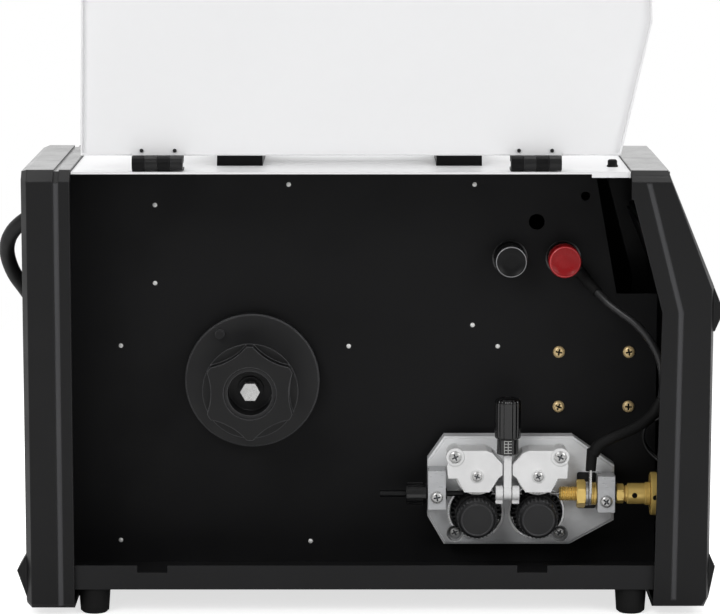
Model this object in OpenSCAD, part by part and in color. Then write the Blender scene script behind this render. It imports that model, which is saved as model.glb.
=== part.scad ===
/* [Overall size] */
// Length over the rear corner guards and the front ridge
body_l = 490; // [470:5:540]
// Width over the two end bezels
body_w = 190; // [180:2:230]
// Height from the ground to the top of the end bezels
body_h = 312; // [306:2:340]
// Height of the ridge across the front
ridge_z = 214; // [208:1:222]
// Run of the upper front for each millimetre of rise
front_slant = 0.405; // [0.36:0.005:0.43]

/* [Case sheet metal] */
// Thickness of the tray, cover, divider and end panels
sheet_t = 1.5; // [1:0.1:2]
// Height of the tray's upturned side flanges
rail_h = 17; // [14:1:20]
// Distance from the middle of the machine to the divider's front face
divider_y = 8; // [6:1:14]
// Depth of the cover's downturned lip above the door
lip_h = 1.5; // [1.5:0.5:5]
// Drop of the cover's top below the top of the bezels
cover_drop = 1.6; // [1.2:0.1:2.2]

/* [Bezels] */
// Wall of the moulded end bezels
bezel_t = 4; // [3:0.5:5]
// Chamfer along the top edges of the bezels
bezel_c = 7.5; // [5:0.5:9]
// Length of the rear bezel without its corner guards
rear_bezel_l = 34; // [30:1:44]
// Length of the front bezel below the ridge
front_bezel_l = 36; // [32:1:42]
// How far the corner guards stand out at the rear
guard_out = 6.5; // [4:0.5:8]
// How far the ridge stands out over the lower front
ridge_out = 7; // [5:0.5:9]
// Width of the rim around the end openings
rim_w = 13; // [10:1:16]
// How far the tongues of the bezels reach under the cover
tongue_l = 6; // [4:1:9]

/* [Door] */
// Thickness of the door sheet
door_t = 1.2; // [1:0.1:1.6]
// Depth of the folded edge around the door
door_hem = 6; // [4:0.5:7]
// Gap between the door and the bezels
door_gap = 6.5; // [4:0.5:8]
// Lean of the opened door past upright, in degrees
door_lean = 11; // [6:1:14]
// Radius of the hinge knuckles
knuckle_r = 5.1; // [4.6:0.1:5.6]
// Length of one hinge
hinge_l = 35; // [30:1:44]

/* [Wire spool holder] */
// Distance of the spool axis in front of the rear bezel
spool_dx = 122; // [118:1:130]
// Height of the spool axis
spool_z = 154.5; // [145:0.5:165]
// Radius of the flange the spool bears on
hub_flange_r = 47.8; // [40:0.2:52]
// Radius of the spindle inside the spool
hub_r = 25; // [22:0.5:26]
// Free length of the spindle between its flange and its nut
hub_l = 41; // [38:1:46]
// Radius over the lobes of the spool nut
nut_r = 33.5; // [30:0.5:36]

/* [Wire feeder] */
// Height of the welding wire
wire_z = 76; // [70:0.5:80]
// Distance of the wire in front of the divider
wire_out = 30; // [28:0.5:32]
// Distance of the feeder's middle behind the lower front bezel edge
feeder_dx = 103.8; // [102:0.2:106]
// Distance between the two drive rolls
roll_pitch = 43.2; // [42.6:0.2:44]
// Radius of the drive and pressure rolls
roll_r = 15; // [14.4:0.1:15.4]
// Number of teeth of each drive gear, of module 1
gear_teeth = 33; // [31:1:33]
// Number of teeth of the motor pinion, of module 1
pinion_teeth = 15; // [14:1:16]
// Thickness of the cast feeder plate
plate_t = 14; // [12:0.5:15]
// Radius of the tension knob
tension_r = 9.1; // [8:0.1:9.4]

/* [Ends] */
// Radius of the mains lead
lead_r = 5.5; // [5:0.25:6]
// Bore of the two output sockets
output_bore_r = 6.6; // [6:0.1:7]
// Side of the cooling fan
fan_w = 92; // [80:1:92]
// Radius of the control knobs
dial_r = 12; // [9:0.5:13]
// Radius of the shielding gas tail
gas_r = 4.5; // [3.5:0.5:6]

/* [Feet and handle] */
// Height of the rubber feet
foot_h = 18.5; // [14:0.5:22]
// Radius at the top of a foot
foot_r = 11.2; // [9:0.2:12]
// Distance between the two handle feet
handle_pitch = 153; // [130:1:170]
// Height of the handle above the cover
handle_h = 62; // [50:1:75]
// Depth of a handle foot across the machine
handle_foot_d = 90; // [70:2:96]

/* [Hidden] */
$fn = 48;

// Clearance between pieces that sit beside each other, and running clearance of shafts
fit = 0.3;
run = 0.05;
// Main planes
half_l = body_l / 2;
half_w = body_w / 2;
bezel_z0 = 6;
case_half = half_w - bezel_t - fit;
panel_half = case_half - sheet_t - fit;
floor_z = foot_h + sheet_t;
rail_top = foot_h + rail_h;
cover_z = body_h - cover_drop;
ceiling_z = cover_z - sheet_t;
div_front = -divider_y;
div_back = div_front + sheet_t;
// Rear bezel
rim_x = -half_l + guard_out;
rear_in = rim_x + rear_bezel_l;
rim_t = 3;
tongue_t = 2.4;
groove_w = 3.8;
groove_d = 1.2;
edge_in = 4.2;
guard_z = [10, 31.5, 44.5];
guard_w = 26;
guard_screw_z = 27;
screw_hole_r = 3.3;
rear_panel_x = rear_in - 9;
// Front bezel
front_face = half_l - ridge_out;
front_top_x = half_l - front_slant * (body_h - ridge_z);
front_in = front_face - front_bezel_l;
inner_step_z = body_h - 20;
inner_slant = 0.264;
front_in_top = front_in - inner_slant * (inner_step_z - ridge_z) - 1.4;
front_in_low = front_in - 3.5;
slant_z = ridge_z + ridge_out / front_slant;
ridge_under = 14;
panel_back = 10;
panel_t = 2;
panel_x = front_face - panel_back;
panel_top = body_h - 12;
foot_y = case_half - foot_r - 2;
// Door
hinge_y = -(half_w - 11);
hinge_z = cover_z + knuckle_r + 0.7;
door_out_y = -(half_w - 0.5);
door_top_z = hinge_z - 6.2;
leaf_hole = 9.4;
door_low_z = foot_h + 4;
door_rear_x = rear_in + door_gap;
door_front_x = front_in_top - door_gap;
door_kink_x = front_in - door_gap;
door_low_x = front_in_low - door_gap;
door_kink_z = ridge_z + 4;
hinge_open = 180 + door_lean;
hinge_xs = [rear_in + 59.6, front_in_top - 65];
pin_r = 1.6;
leaf_t = 1.6;
hinge_screw_dx = 11.4;
knuckles = 4;
latch_xs = [rear_in + 54, front_in_top - 66];
latch_w = 18;
latch_travel = 9;
low_hem = 3;
notch_w = 21;
notch_h = 5;
latch_z = rail_top + 7;
// Spool holder
spool_x = rear_in + spool_dx;
hub_back = div_front - 4;
hub_flange_t = 10;
hub_front = hub_back - hub_flange_t - hub_l;
nut_t = 14;
lobe_cut_r = 43;
nut_sleeve_r = hub_r - 6.8;
bolt_tip = hub_front - 8;
bolt_r = 4;
// Feeder
wire_y = div_front - wire_out;
feeder_x = front_in - feeder_dx;
roll_xs = [feeder_x - roll_pitch / 2, feeder_x + roll_pitch / 2];
roll_z = wire_z - roll_r;
press_z = wire_z + roll_r + 0.1;
roll_w = 12;
insulator_t = 6;
plate_back = div_front - insulator_t;
plate_front = plate_back - plate_t;
gear_r = gear_teeth / 2;
pinion_r = pinion_teeth / 2;
gear_gap = 0.12;
mesh_r = gear_r + pinion_r + gear_gap;
pinion_z = roll_z - sqrt(mesh_r * mesh_r - roll_pitch * roll_pitch / 4);
mesh_angle = atan2(pinion_z - roll_z, roll_pitch / 2);
gear_front = plate_front - 3.5;
gear_back = plate_back - 1.5;
opening_r = gear_r + 2.1;
axle_r = 3.5;
arm_front = wire_y - roll_w / 2 - 8;
arm_plate_t = 6.5;
arm_back = plate_front - 0.5;
arm_pivot_dx = 37;
arm_pivot_z = wire_z + 29;
arm_play = 3;
lever_y = wire_y - 12;
lever_z = wire_z + 3;
tension_z0 = wire_z + 31;
tension_z1 = wire_z + 71;
block_inlet = [feeder_x - 56, feeder_x - 43.4];
block_outlet = [feeder_x + 64, feeder_x + 76.3];
guide_r = 2;
// Torch connection
adapter_flange_x = front_in - 2.2;
adapter_r = 7.5;
adapter_neck_r = 5;
socket_r = 17;
panel_rise = body_h - 12 - ridge_z;
display_h = 0.663 * panel_rise;
display_w = [0.35 * panel_rise, 84];
// Power board: its ends along the machine and its height
board_x = [rear_in + 54.5, feeder_x - 36.2];
board_z = [floor_z + 100, ceiling_z - 16.9];
// Terminals
terminal_z = body_h - 71;
terminal_xs = [feeder_x + 2.5, feeder_x + 40.4];
terminal_r = 11.7;
terminal_out = 26;
// Mains switch
switch_at = [case_half - 38.7, body_h - 48];
rocker_half = [11, 9];
rocker_x = rear_panel_x + 2;
rocker_tip = 6;
// Mains lead: the route out of the rear, down to the ground and into the coil
relief_rings = 6;
coil_r = 60;
coil_half = 3 * lead_r;
coil_at = [rear_panel_x + 123.5, half_w * 2.00737];
plug_from = coil_at + [-27, coil_r + coil_half - lead_r];
plug_half = [16, 10.5];
lead_low = lead_r + 0.5;
lead_high = body_h - 37;
// Each point: along from the rear panel, across, and share of the way up from the ground
lead_shape = [
  [0, 6, 1], [-4.5, 6.2, 0.9993], [-10.5, 6.9, 0.9963], [-16.5, 8, 0.9918],
  [-21.5, 9.8, 0.9844], [-27.5, 12.6, 0.9729], [-34.5, 17, 0.9546], [-42, 23.5, 0.9279],
  [-46.5, 30.5, 0.8978], [-48, 38, 0.8643], [-47, 45, 0.829], [-43.5, 51, 0.7937],
  [-38, 56, 0.7602], [-33, 61, 0.7249], [-30, 66, 0.684], [-29.5, 71, 0.6357],
  [-30.5, 76, 0.5725], [-31.5, 81, 0.4907], [-32, 86, 0.3941], [-32, 91, 0.3048],
  [-31, 96, 0.223], [-28.5, 102, 0.1487], [-23.5, 108.5, 0.0855], [-15.5, 116, 0.0353],
  [-3.5, 124.5, 0.0093], [11.5, 131.5, 0.0007], [29.5, 136.5, 0], [47.5, 137.5, 0],
  [65.5, 133.5, 0], [83.5, 127, 0], [101.5, 122.5, 0]
];
lead_route = [for (p = lead_shape)
  [rear_panel_x + p[0], p[1] * half_w / 95, lead_low + p[2] * (lead_high - lead_low)]];
// Each point: along from the feeder, out from the divider, and share of the way up to the terminal
jumper_shape = [
  [52.3, 5, 1], [57.3, 6.5, 0.98], [64.8, 11, 0.944], [74.3, 18, 0.896], [84.8, 25, 0.824],
  [94.3, 30, 0.744], [101.3, 33, 0.648], [105.3, 35, 0.544], [106.4, 36, 0.432],
  [104.8, 36, 0.328], [99.3, 36, 0.228], [90.8, 37, 0.164], [79.8, 38, 0.116],
  [70.3, 39, 0.084], [64.3, 39, 0.052], [60.4, 39, 0]
];
jumper_z = [wire_z + 30, terminal_z - 10];
jumper_route = [for (p = jumper_shape)
  [feeder_x + p[0], div_front - p[1] * wire_out / 30, jumper_z[0] + p[2] * (jumper_z[1] - jumper_z[0])]];
// Each point: along from the front bezel, out from the divider, and above the welding wire
wire_shape = [
  [panel_x - front_in - 2.1, 16, 52], [12, 14, 52], [3, 13, 50], [-4, 13, 45], [-6, 14, 37],
  [-3, 16, 29], [3, 19, 23], [9, 22, 19]
];
wire_route = [for (p = wire_shape) [front_in + p[0], div_front - p[1], wire_z + p[2]]];
jumper_r = 2.8;

// ---- helpers: prisms and cylinders along each axis ----

// A cylinder along X from x0 to x1 at (y, z)
module xcyl(r, x0, x1, y, z) {
  translate([x0, y, z]) rotate([0, 90, 0]) cylinder(r = r, h = x1 - x0);
}

// A cylinder along Y from y0 to y1 at (x, z)
module ycyl(r, y0, y1, x, z) {
  translate([x, y1, z]) rotate([90, 0, 0]) cylinder(r = r, h = y1 - y0);
}

// A box between two corners
module block(a, b) {
  translate(a) cube(b - a);
}

// A prism of (y, z) points along X
module xprism(points, x0, x1) {
  translate([x0, 0, 0]) rotate([90, 0, 90]) linear_extrude(x1 - x0) polygon(points);
}

// A prism of (x, z) points along Y
module yprism(points, y0, y1) {
  translate([0, y1, 0]) rotate([90, 0, 0]) linear_extrude(y1 - y0) polygon(points);
}

// The section across the machine: half width, bottom, top and top chamfer
function section(hw, z0, z1, c) = [
  [-hw, z0 + 3], [-hw + 3, z0], [hw - 3, z0], [hw, z0 + 3],
  [hw, z1 - c], [hw - c, z1], [-hw + c, z1], [-hw, z1 - c]
];

// A tube swept along a list of points, with its radius at each end
function unit(v) = v / norm(v);
function heading(p, i) = unit(p[min(i + 1, len(p) - 1)] - p[max(i - 1, 0)]);
function side_of(t) = unit(cross(t, abs(t[1]) < 0.9 ? [0, 1, 0] : [1, 0, 0]));
function carried(p, i) = i == 0 ? side_of(heading(p, 0))
  : let(u = carried(p, i - 1), t = heading(p, i)) unit(u - t * (u * t));
module sweep(p, r0, r1, sides) {
  n = len(p);
  rings = [for (i = [0:n - 1])
    let(t = heading(p, i), u = carried(p, i), v = cross(t, u), r = r0 + (r1 - r0) * i / (n - 1))
    for (k = [0:sides - 1]) p[i] + r * (cos(360 * k / sides) * u + sin(360 * k / sides) * v)];
  skin = [for (i = [0:n - 2], k = [0:sides - 1])
    let(a = i * sides + k, b = i * sides + (k + 1) % sides) [a + sides, b + sides, b, a]];
  polyhedron(rings, concat(skin, [[for (k = [0:sides - 1]) k]],
    [[for (k = [sides - 1:-1:0]) (n - 1) * sides + k]]));
}

// A spur gear of module 1 with slim teeth, first tooth along +X
function tooth_half(r, rp, n) = (r < rp ? 22 + 5 * (rp - r) : 22 - 8 * (r - rp)) / n * 3.6;
module gear(n) {
  rp = n / 2;
  radii = [rp - 1.25, rp - 0.5, rp, rp + 0.5, rp + 0.95];
  polygon([for (k = [0:n - 1]) each concat(
    [for (r = radii) let(a = 360 * k / n - tooth_half(r, rp, n)) r * [cos(a), sin(a)]],
    [for (i = [4:-1:0]) let(r = radii[i], a = 360 * k / n + tooth_half(r, rp, n)) r * [cos(a), sin(a)]])]);
}

// A pan-head screw along an axis: head outwards
module pan_screw(r, head_h, shank_r, shank_l) {
  difference() {
    rotate_extrude() polygon([[0, 0], [r, 0], [r, head_h * 0.5], [r * 0.75, head_h], [0, head_h]]);
    for (a = [0, 90]) rotate([0, 0, a])
      translate([-r * 0.5, -r * 0.11, head_h - 0.8]) cube([r, r * 0.22, 1]);
  }
  translate([0, 0, -shank_l]) cylinder(r = shank_r, h = shank_l + 0.01);
}

// ---- case ----

module base_tray() {
  x0 = rear_panel_x;
  x1 = panel_x;
  color("#1c1c1d") difference() {
    union() {
      block([x0, -case_half, foot_h], [x1, case_half, floor_z]);
      for (s = [-1, 1]) block([x0, s > 0 ? case_half - sheet_t : -case_half, foot_h],
        [x1, s > 0 ? case_half : -case_half + sheet_t, rail_top]);
    }
    for (x = latch_xs) block([x - notch_w / 2, -case_half - 1, rail_top - notch_h],
      [x + notch_w / 2, -case_half + sheet_t + 1, rail_top + 1]);
    for (x = [-3:2], y = [18, 34, 50, 66])
      translate([x * 34 + 8, y, foot_h - 1]) cylinder(r = 4, h = sheet_t + 2);
  }
}

module top_cover() {
  x0 = rear_in + fit;
  y1 = half_w - cover_drop;
  front_edge = [[x0, floor_z + 4], [front_in_low - fit, floor_z + 4],
    [front_in - fit, ridge_z], [front_in_top + 1.1 - fit, inner_step_z],
    [front_in_top - fit, inner_step_z], [front_in_top - fit, cover_z], [x0, cover_z]];
  vent_rows = [for (z = [70:14:196]) z];
  color("#ececec") difference() {
    union() {
      block([x0, hinge_y - 4, ceiling_z], [front_in_top - fit, y1 - 2, cover_z]);
      block([x0, hinge_y - 4, cover_z - lip_h], [front_in_top - fit, hinge_y - 4 + sheet_t, cover_z]);
      block([front_in_top - 27, hinge_y - 4, cover_z - lip_h - 2.4],
        [front_in_top - fit, hinge_y - 4 + sheet_t, cover_z]);
      difference() {
        yprism(front_edge, y1 - sheet_t, y1);
        for (z = vent_rows, x = [rear_in + 54.5, front_in - 142])
          yprism([[x, z], [x + 70, z], [x + 73, z + 3], [x + 70, z + 6], [x, z + 6], [x - 3, z + 3]],
            y1 - 5, y1 + 1);
      }
      block([x0, y1 - 3, ceiling_z], [front_in_top - fit, y1 - sheet_t / 2, cover_z - 1]);
    }
    for (x = handle_xs(), y = [-1, 1] * handle_foot_d * 0.36)
      translate([x, y, ceiling_z - 1]) cylinder(r = 2.2, h = sheet_t + 2);
  }
}

function handle_xs() = let(m = (rear_in + front_in_top) / 2 - 1)
  [m - handle_pitch / 2, m + handle_pitch / 2];

module divider_panel() {
  x0 = rear_panel_x + sheet_t;
  step_x = rear_in + tongue_l + fit;
  step_z = ceiling_z - tongue_t - fit;
  outline = [[x0, floor_z], [front_in + 4, floor_z], [front_in + 4, ridge_z + 1],
    [front_in - 25, ridge_z + 1], [front_in_top - 20, ceiling_z], [step_x, ceiling_z],
    [step_x, step_z], [x0, step_z]];
  color("#161617") difference() {
    union() {
      yprism(outline, div_front, div_back);
      block([x0, div_front, floor_z], [front_in + 4, div_back + 12, floor_z + sheet_t]);
      block([step_x, div_front, ceiling_z - sheet_t], [front_in_top - 20, div_back + 12, ceiling_z]);
    }
    ycyl(5.6, div_front - 1, div_back + 1, feeder_x + 21.5, body_h - 45.5);
    ycyl(3.2, div_front - 1, div_back + 1, feeder_x + 56, body_h - 27);
    ycyl(pinion_r + 3, div_front - 1, div_back + 1, feeder_x, pinion_z);
    for (x = terminal_xs) ycyl(4.5, div_front - 1, div_back + 1, x, terminal_z);
    ycyl(bolt_r + run, div_front - 1, div_back + 1, spool_x, spool_z);
    for (p = rivet_places()) ycyl(1.5, div_front - 1, div_back + 1, p[0], p[1]);
    for (p = screw_places()) ycyl(2.1, div_front - 1, div_back + 1, p[0], p[1]);
  }
}

function rivet_places() = [
  [rear_in + 53, body_h - 33.4], [rear_in + 148, body_h - 18.8], [feeder_x - 22.8, body_h - 18.8],
  [rear_in + 52.6, body_h - 89.4], [rear_in + 27.8, spool_z + 23], [rear_in + 190.5, spool_z + 22.6],
  [feeder_x - 23.8, body_h - 119.6], [feeder_x - 5.7, spool_z + 22.6],
  [rear_in + 26.4, floor_z + 15.8], [rear_in + 163, floor_z + 15]
];

function screw_places() = [for (x = [38, 88], z = [97, 57.5]) [feeder_x + x, wire_z + z]];

module divider_rivets() {
  color("#e6e6e4") for (p = rivet_places()) translate([p[0], div_front, p[1]]) rotate([90, 0, 0]) {
    rotate_extrude() polygon([[0, 0], [2.1, 0], [1.9, 0.7], [1, 1.2], [0, 1.3]]);
    translate([0, 0, -sheet_t - 1]) cylinder(r = 1.45, h = sheet_t + 1.01);
  }
}

module divider_screws() {
  color("#c9a66a") for (p = screw_places()) translate([p[0], div_front, p[1]])
    rotate([90, 0, 0]) pan_screw(4.6, 3, 2, sheet_t + 5);
}

module rear_bezel() {
  color("#202021") difference() {
    union() {
      difference() {
        hull() {
          xprism(section(half_w, bezel_z0, body_h, bezel_c), rim_x + edge_in, rear_in);
          xprism(section(half_w - bezel_c, bezel_z0 + 2, body_h - 1.5, bezel_c - 2), rim_x, rim_x + 0.1);
        }
        xprism(section(half_w - bezel_t, bezel_z0 + bezel_t, body_h - bezel_t, bezel_c - 2),
          rim_x + rim_t, rear_in + 1);
        xprism(window(bezel_z0 + rim_w + 3, body_h - rim_w), rim_x - 1, rim_x + rim_t + 1);
        bezel_groove(rear_in - 11.5);
      }
      tongue(rear_in - 6, rear_in + tongue_l);
      ribs(rear_in - 14);
      for (s = [-1, 1]) yprism([[rim_x + 1, guard_z[0]], [-half_l, guard_z[1]], [rim_x + 1, guard_z[2]]],
        s > 0 ? half_w - bezel_c - guard_w : -half_w + bezel_c,
        s > 0 ? half_w - bezel_c : -half_w + bezel_c + guard_w);
    }
    for (s = [-1, 1]) guard_hole(s, -half_l - 1, rim_x + 1.2);
  }
}

// The stepped tongue that a bezel puts under the cover, at the top, the far side and below
module tongue(x0, x1) {
  o = cover_drop + sheet_t;
  difference() {
    xprism(section(half_w - o, foot_h - 9, body_h - o, bezel_c - 2), x0, x1);
    xprism(section(half_w - o - tongue_t, foot_h - 6, body_h - o - tongue_t, bezel_c - 2), x0 - 1, x1 + 1);
    block([x0 - 1, -half_w - 1, foot_h - 10], [x1 + 1, -half_w + 24, body_h + 1]);
    block([x0 - 1, -half_w - 1, foot_h - 10], [x1 + 1, half_w + 1, rail_top + 1]);
  }
}

// Ribs under the tray inside a bezel, ten millimetres long
module ribs(x) {
  for (y = [-62, 62]) block([x, y - 3, bezel_z0 + bezel_t - 0.5], [x + 10, y + 3, foot_h]);
}

// Outline of the opening in a bezel's end, leaving the corner pads of the guards
function window(z0, z1) = let(w = half_w - rim_w, wi = half_w - bezel_c - guard_w - 1,
    zc = guard_z[2] + 2) [
  [-wi, z0], [wi, z0], [wi, zc], [w, zc], [w, z1 - 5], [w - 5, z1], [5 - w, z1], [-w, z1 - 5],
  [-w, zc], [-wi, zc]
];

// The shallow groove around a bezel, at x
module bezel_groove(x) {
  difference() {
    block([x, -half_w - 1, bezel_z0 - 1], [x + groove_w, half_w + 1, body_h + 1]);
    xprism(section(half_w - groove_d, bezel_z0 - 2, body_h - groove_d, bezel_c), x - 1, x + groove_w + 1);
  }
}

module guard_hole(s, x0, x1) {
  y = s * (half_w - bezel_c - guard_w / 2);
  xcyl(screw_hole_r, x0, x1, y, guard_screw_z);
  xcyl(1.6, x1 - 1, x1 + 12, y, guard_screw_z);
}

module rear_panel() {
  color("#1b1b1c") difference() {
    xprism(section(panel_half, floor_z, body_h - bezel_t - fit, bezel_c - 2),
      rear_panel_x, rear_panel_x + sheet_t);
    xcyl(fan_w / 2 - 6, rear_panel_x - 1, rear_panel_x + sheet_t + 1, fan_y(), fan_z());
    xcyl(lead_r + 2.5, rear_panel_x - 1, rear_panel_x + sheet_t + 1, lead_route[0][1], lead_route[0][2]);
    xcyl(gas_r + 1.6, rear_panel_x - 1, rear_panel_x + sheet_t + 1, fan_y(), 52);
    switch_box(2.6, rear_panel_x - 1, rear_panel_x + sheet_t + 1);
    for (z = [40:8:230]) for (y = [-76, -48])
      block([rear_panel_x - 1, y, z], [rear_panel_x + sheet_t + 1, y + 22, z + 3]);
  }
}

function fan_y() = (div_back + case_half) / 2;
function fan_z() = 150;

// Outline of the front bezel seen from the side, moved in by d and cut down by c at the top
function front_outline(d, c) = [
  [front_in_top - 60, bezel_z0 + d], [front_face - 4 - d, bezel_z0 + d],
  [front_face - 0.8 - d, bezel_z0 + 7], [front_face - d, slant_z - d * 0.5],
  [front_top_x + front_slant * c - d * 0.4, body_h - 0.5 - c], [front_in_top - 60, body_h - c]
];

function front_edge_line(s) = [
  [front_in_low - 1.5 + s, -10], [front_in_low + s, 20], [front_in + s, ridge_z],
  [front_in_top + 1.4 + s, inner_step_z],
  [front_in_top + s, inner_step_z], [front_in_top + s, body_h + 20]
];

module front_bezel() {
  inner_cut = concat([[0, -10]], front_edge_line(0), [[0, body_h + 20]]);
  tongue_cut = concat([[0, -10]], front_edge_line(-tongue_l), [[0, body_h + 20]]);
  groove_line = [[front_in_low + 12, bezel_z0 + 6], [front_in_low + 12 + groove_w, bezel_z0 + 6],
    [front_in + 11 + groove_w, ridge_z], [front_in_top + 10 + groove_w, body_h - bezel_c - 1],
    [front_in_top + 10, body_h - bezel_c - 1], [front_in + 11, ridge_z]];
  color("#202021") difference() {
    union() {
      difference() {
        hull() {
          yprism(front_outline(0, 0), -half_w + bezel_c, half_w - bezel_c);
          yprism(front_outline(2.3, bezel_c), -half_w, half_w);
        }
        yprism(front_outline(bezel_t, bezel_t), -half_w + bezel_t, half_w - bezel_t);
        yprism(inner_cut, -half_w - 1, half_w + 1);
        block([front_in_top, -half_w + rim_w, ridge_z + 8], [half_l + 5, half_w - rim_w, body_h - rim_w]);
        xprism(window(bezel_z0 + rim_w + 3, ridge_z - ridge_under), front_in_top, half_l + 5);
        difference() {
          yprism(groove_line, -half_w - 1, half_w + 1);
          yprism(groove_line, groove_d - half_w, half_w - groove_d);
        }
      }
      difference() {
        tongue(front_in_top - tongue_l, front_in + 6);
        yprism(tongue_cut, -half_w - 1, half_w + 1);
      }
      ribs(front_in + 4);
      yprism([[front_face - 5, slant_z - 6], [front_face - 1, slant_z + 2], [half_l, ridge_z],
        [front_face + 0.8, ridge_z - ridge_under], [front_face - 5, ridge_z - ridge_under]],
        -half_w + bezel_c, half_w - bezel_c);
      for (s = [-1, 1]) yprism([[front_face - 1, guard_z[0] + 2], [front_face + 3.5, guard_z[1] + 3],
        [front_face - 1, guard_z[2]]],
        s > 0 ? half_w - bezel_c - guard_w : -half_w + bezel_c,
        s > 0 ? half_w - bezel_c : -half_w + bezel_c + guard_w);
    }
    for (s = [-1, 1]) mirror([1, 0, 0]) guard_hole(s, -half_l - 1, -front_face + 1.2);
  }
}

// Middle line of the slanted upper front panel: a point h above the fold
function panel_point(h) = [panel_x - front_slant * h, ridge_z + h];

module front_panel() {
  top_h = panel_top - ridge_z;
  low = [panel_x, floor_z];
  outline = [low, panel_point(0), panel_point(top_h), panel_point(top_h) - [panel_t * 1.1, 0],
    panel_point(-0.4) - [panel_t * 1.1, 0], low - [panel_t, 0]];
  color("#2a2b2d") difference() {
    yprism(outline, -panel_half, panel_half);
    xcyl(socket_r - 3, panel_x - 5, panel_x + 1, wire_y, wire_z);
    for (y = output_ys()) xcyl(output_bore_r + 4, panel_x - 5, panel_x + 1, y, output_z());
    for (y = dial_ys()) on_panel(dial_h(), y) cylinder(r = 3 + run, h = 20, center = true);
    on_panel(display_h, 0) cube([display_w[0], display_w[1], 20], center = true);
  }
}

// Puts its children on the slanted panel, h above the fold, with +Z out of the panel
module on_panel(h, y) {
  p = panel_point(h * cos(atan(front_slant)));
  translate([p[0], y, p[1]]) rotate([0, 90 - atan(front_slant), 0]) children();
}

function dial_ys() = [-48, 48];
function dial_h() = 0.256 * panel_rise;
function output_ys() = [12, 56];
function output_z() = 60;

module rubber_feet() {
  cover_bumper();
  xs = [rear_in + 12.8, front_in - 18.4];
  color("#141414") for (x = xs, y = [-1, 1] * foot_y) translate([x, y, 0]) {
    difference() {
      rotate_extrude()
        polygon([[0, 0], [foot_r - 3, 0], [foot_r - 1.2, 1.6], [foot_r, foot_h], [0, foot_h]]);
      translate([0, 0, -1]) cylinder(r = 4, h = 7);
    }
  }
}

module handle_foot(x) {
  w = 32;
  d = handle_foot_d / 2;
  intersection() {
    xprism([[-d, cover_z], [d, cover_z], [d, cover_z + 9], [15, cover_z + handle_h - 16],
      [15, cover_z + handle_h - 4], [11, cover_z + handle_h], [-11, cover_z + handle_h],
      [-15, cover_z + handle_h - 4], [-15, cover_z + handle_h - 16], [-d, cover_z + 9]],
      x - w / 2, x + w / 2);
    yprism([[x - w / 2, cover_z], [x + w / 2, cover_z], [x + w / 2 - 1.5, cover_z + handle_h],
      [x - w / 2 + 1.5, cover_z + handle_h]], -d - 1, d + 1);
  }
}

module carry_handle() {
  xs = handle_xs();
  z1 = cover_z + handle_h;
  color("#1d1d1e") difference() {
    union() {
      for (x = xs) handle_foot(x);
      xprism([[-15, z1 - 16], [-11, z1 - 20], [11, z1 - 20], [15, z1 - 16], [15, z1 - 4], [11, z1],
        [-11, z1], [-15, z1 - 4]], xs[0] - 14, xs[1] + 14);
    }
    for (x = xs, y = [-1, 1] * handle_foot_d * 0.36) translate([x, y, cover_z]) {
      translate([0, 0, 6]) cylinder(r = 5, h = handle_h);
      translate([0, 0, -1]) cylinder(r = 2.1, h = handle_h);
    }
  }
}

// The screws of the handle and of the four corner guards
module case_screws() {
  y = half_w - bezel_c - guard_w / 2;
  color("#8f9092") {
    for (x = handle_xs(), y = [-1, 1] * handle_foot_d * 0.36)
      translate([x, y, cover_z + 6]) pan_screw(4.2, 2.6, 2, 6 + sheet_t + 3);
    for (s = [-1, 1]) {
      translate([rim_x + 1.2, s * y, guard_screw_z]) rotate([0, -90, 0]) pan_screw(3, 2, 1.5, 7);
      translate([front_face - 1.2, s * y, guard_screw_z]) rotate([0, 90, 0]) pan_screw(3, 2, 1.5, 7);
    }
  }
}

// The stop for the closed door, on the cover's near front corner
module cover_bumper() {
  color("#0f0f0f") translate([front_in_top - 10.3, -half_w + 44, cover_z])
    rotate_extrude() polygon([[0, 0], [3.9, 0], [3.9, 1], [3.3, 1.4], [3.3, 4.2], [2.4, 5], [0, 5]]);
}

// ---- door and its hinges, shown opened ----

// Moves a piece drawn on the closed door to its opened place
module opened() {
  translate([0, hinge_y, hinge_z]) rotate([-hinge_open, 0, 0])
    translate([0, -hinge_y, -hinge_z]) children();
}

function door_outline(s) = [
  [door_rear_x + s, door_top_z - s], [door_rear_x + s, door_low_z + s], [door_low_x - s, door_low_z + s],
  [door_kink_x - s, door_kink_z - s * 0.2], [door_front_x - s * 1.1, door_top_z - s]
];

module door_panel() {
  y0 = door_out_y;
  color("#f1f1f1") opened() difference() {
    yprism(door_outline(0), y0, y0 + door_hem);
    yprism(door_outline(door_t), y0 + door_t, y0 + door_hem + 1);
    for (x = hinge_xs) block([x - hinge_l / 2 - 1, y0 + door_t + 0.01, door_top_z - 3],
      [x + hinge_l / 2 + 1, y0 + door_hem + 1, door_top_z + 1]);
    for (x = hinge_xs, d = [-1, 1] * hinge_screw_dx)
      ycyl(1.3, y0 - 1, y0 + 3, x + d, hinge_z - leaf_hole);
    block([door_rear_x - 1, y0 + low_hem, door_low_z - 1],
      [door_kink_x + 1, y0 + door_hem + 1, rail_top + 2]);
    for (x = latch_xs) block([x - 6, y0 - 1, latch_z + 9.6 - latch_travel],
      [x + 6, y0 + 3, latch_z + 18.4]);
  }
}

// One knuckle of a hinge, the kth from the rear
module knuckle(x, k) {
  w = hinge_l / knuckles;
  x0 = x - hinge_l / 2 + k * w + fit / 2;
  difference() {
    xcyl(knuckle_r, x0, x0 + w - fit, hinge_y, hinge_z);
    xcyl(pin_r + run, x0 - 1, x0 + w + 1, hinge_y, hinge_z);
  }
}

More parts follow.
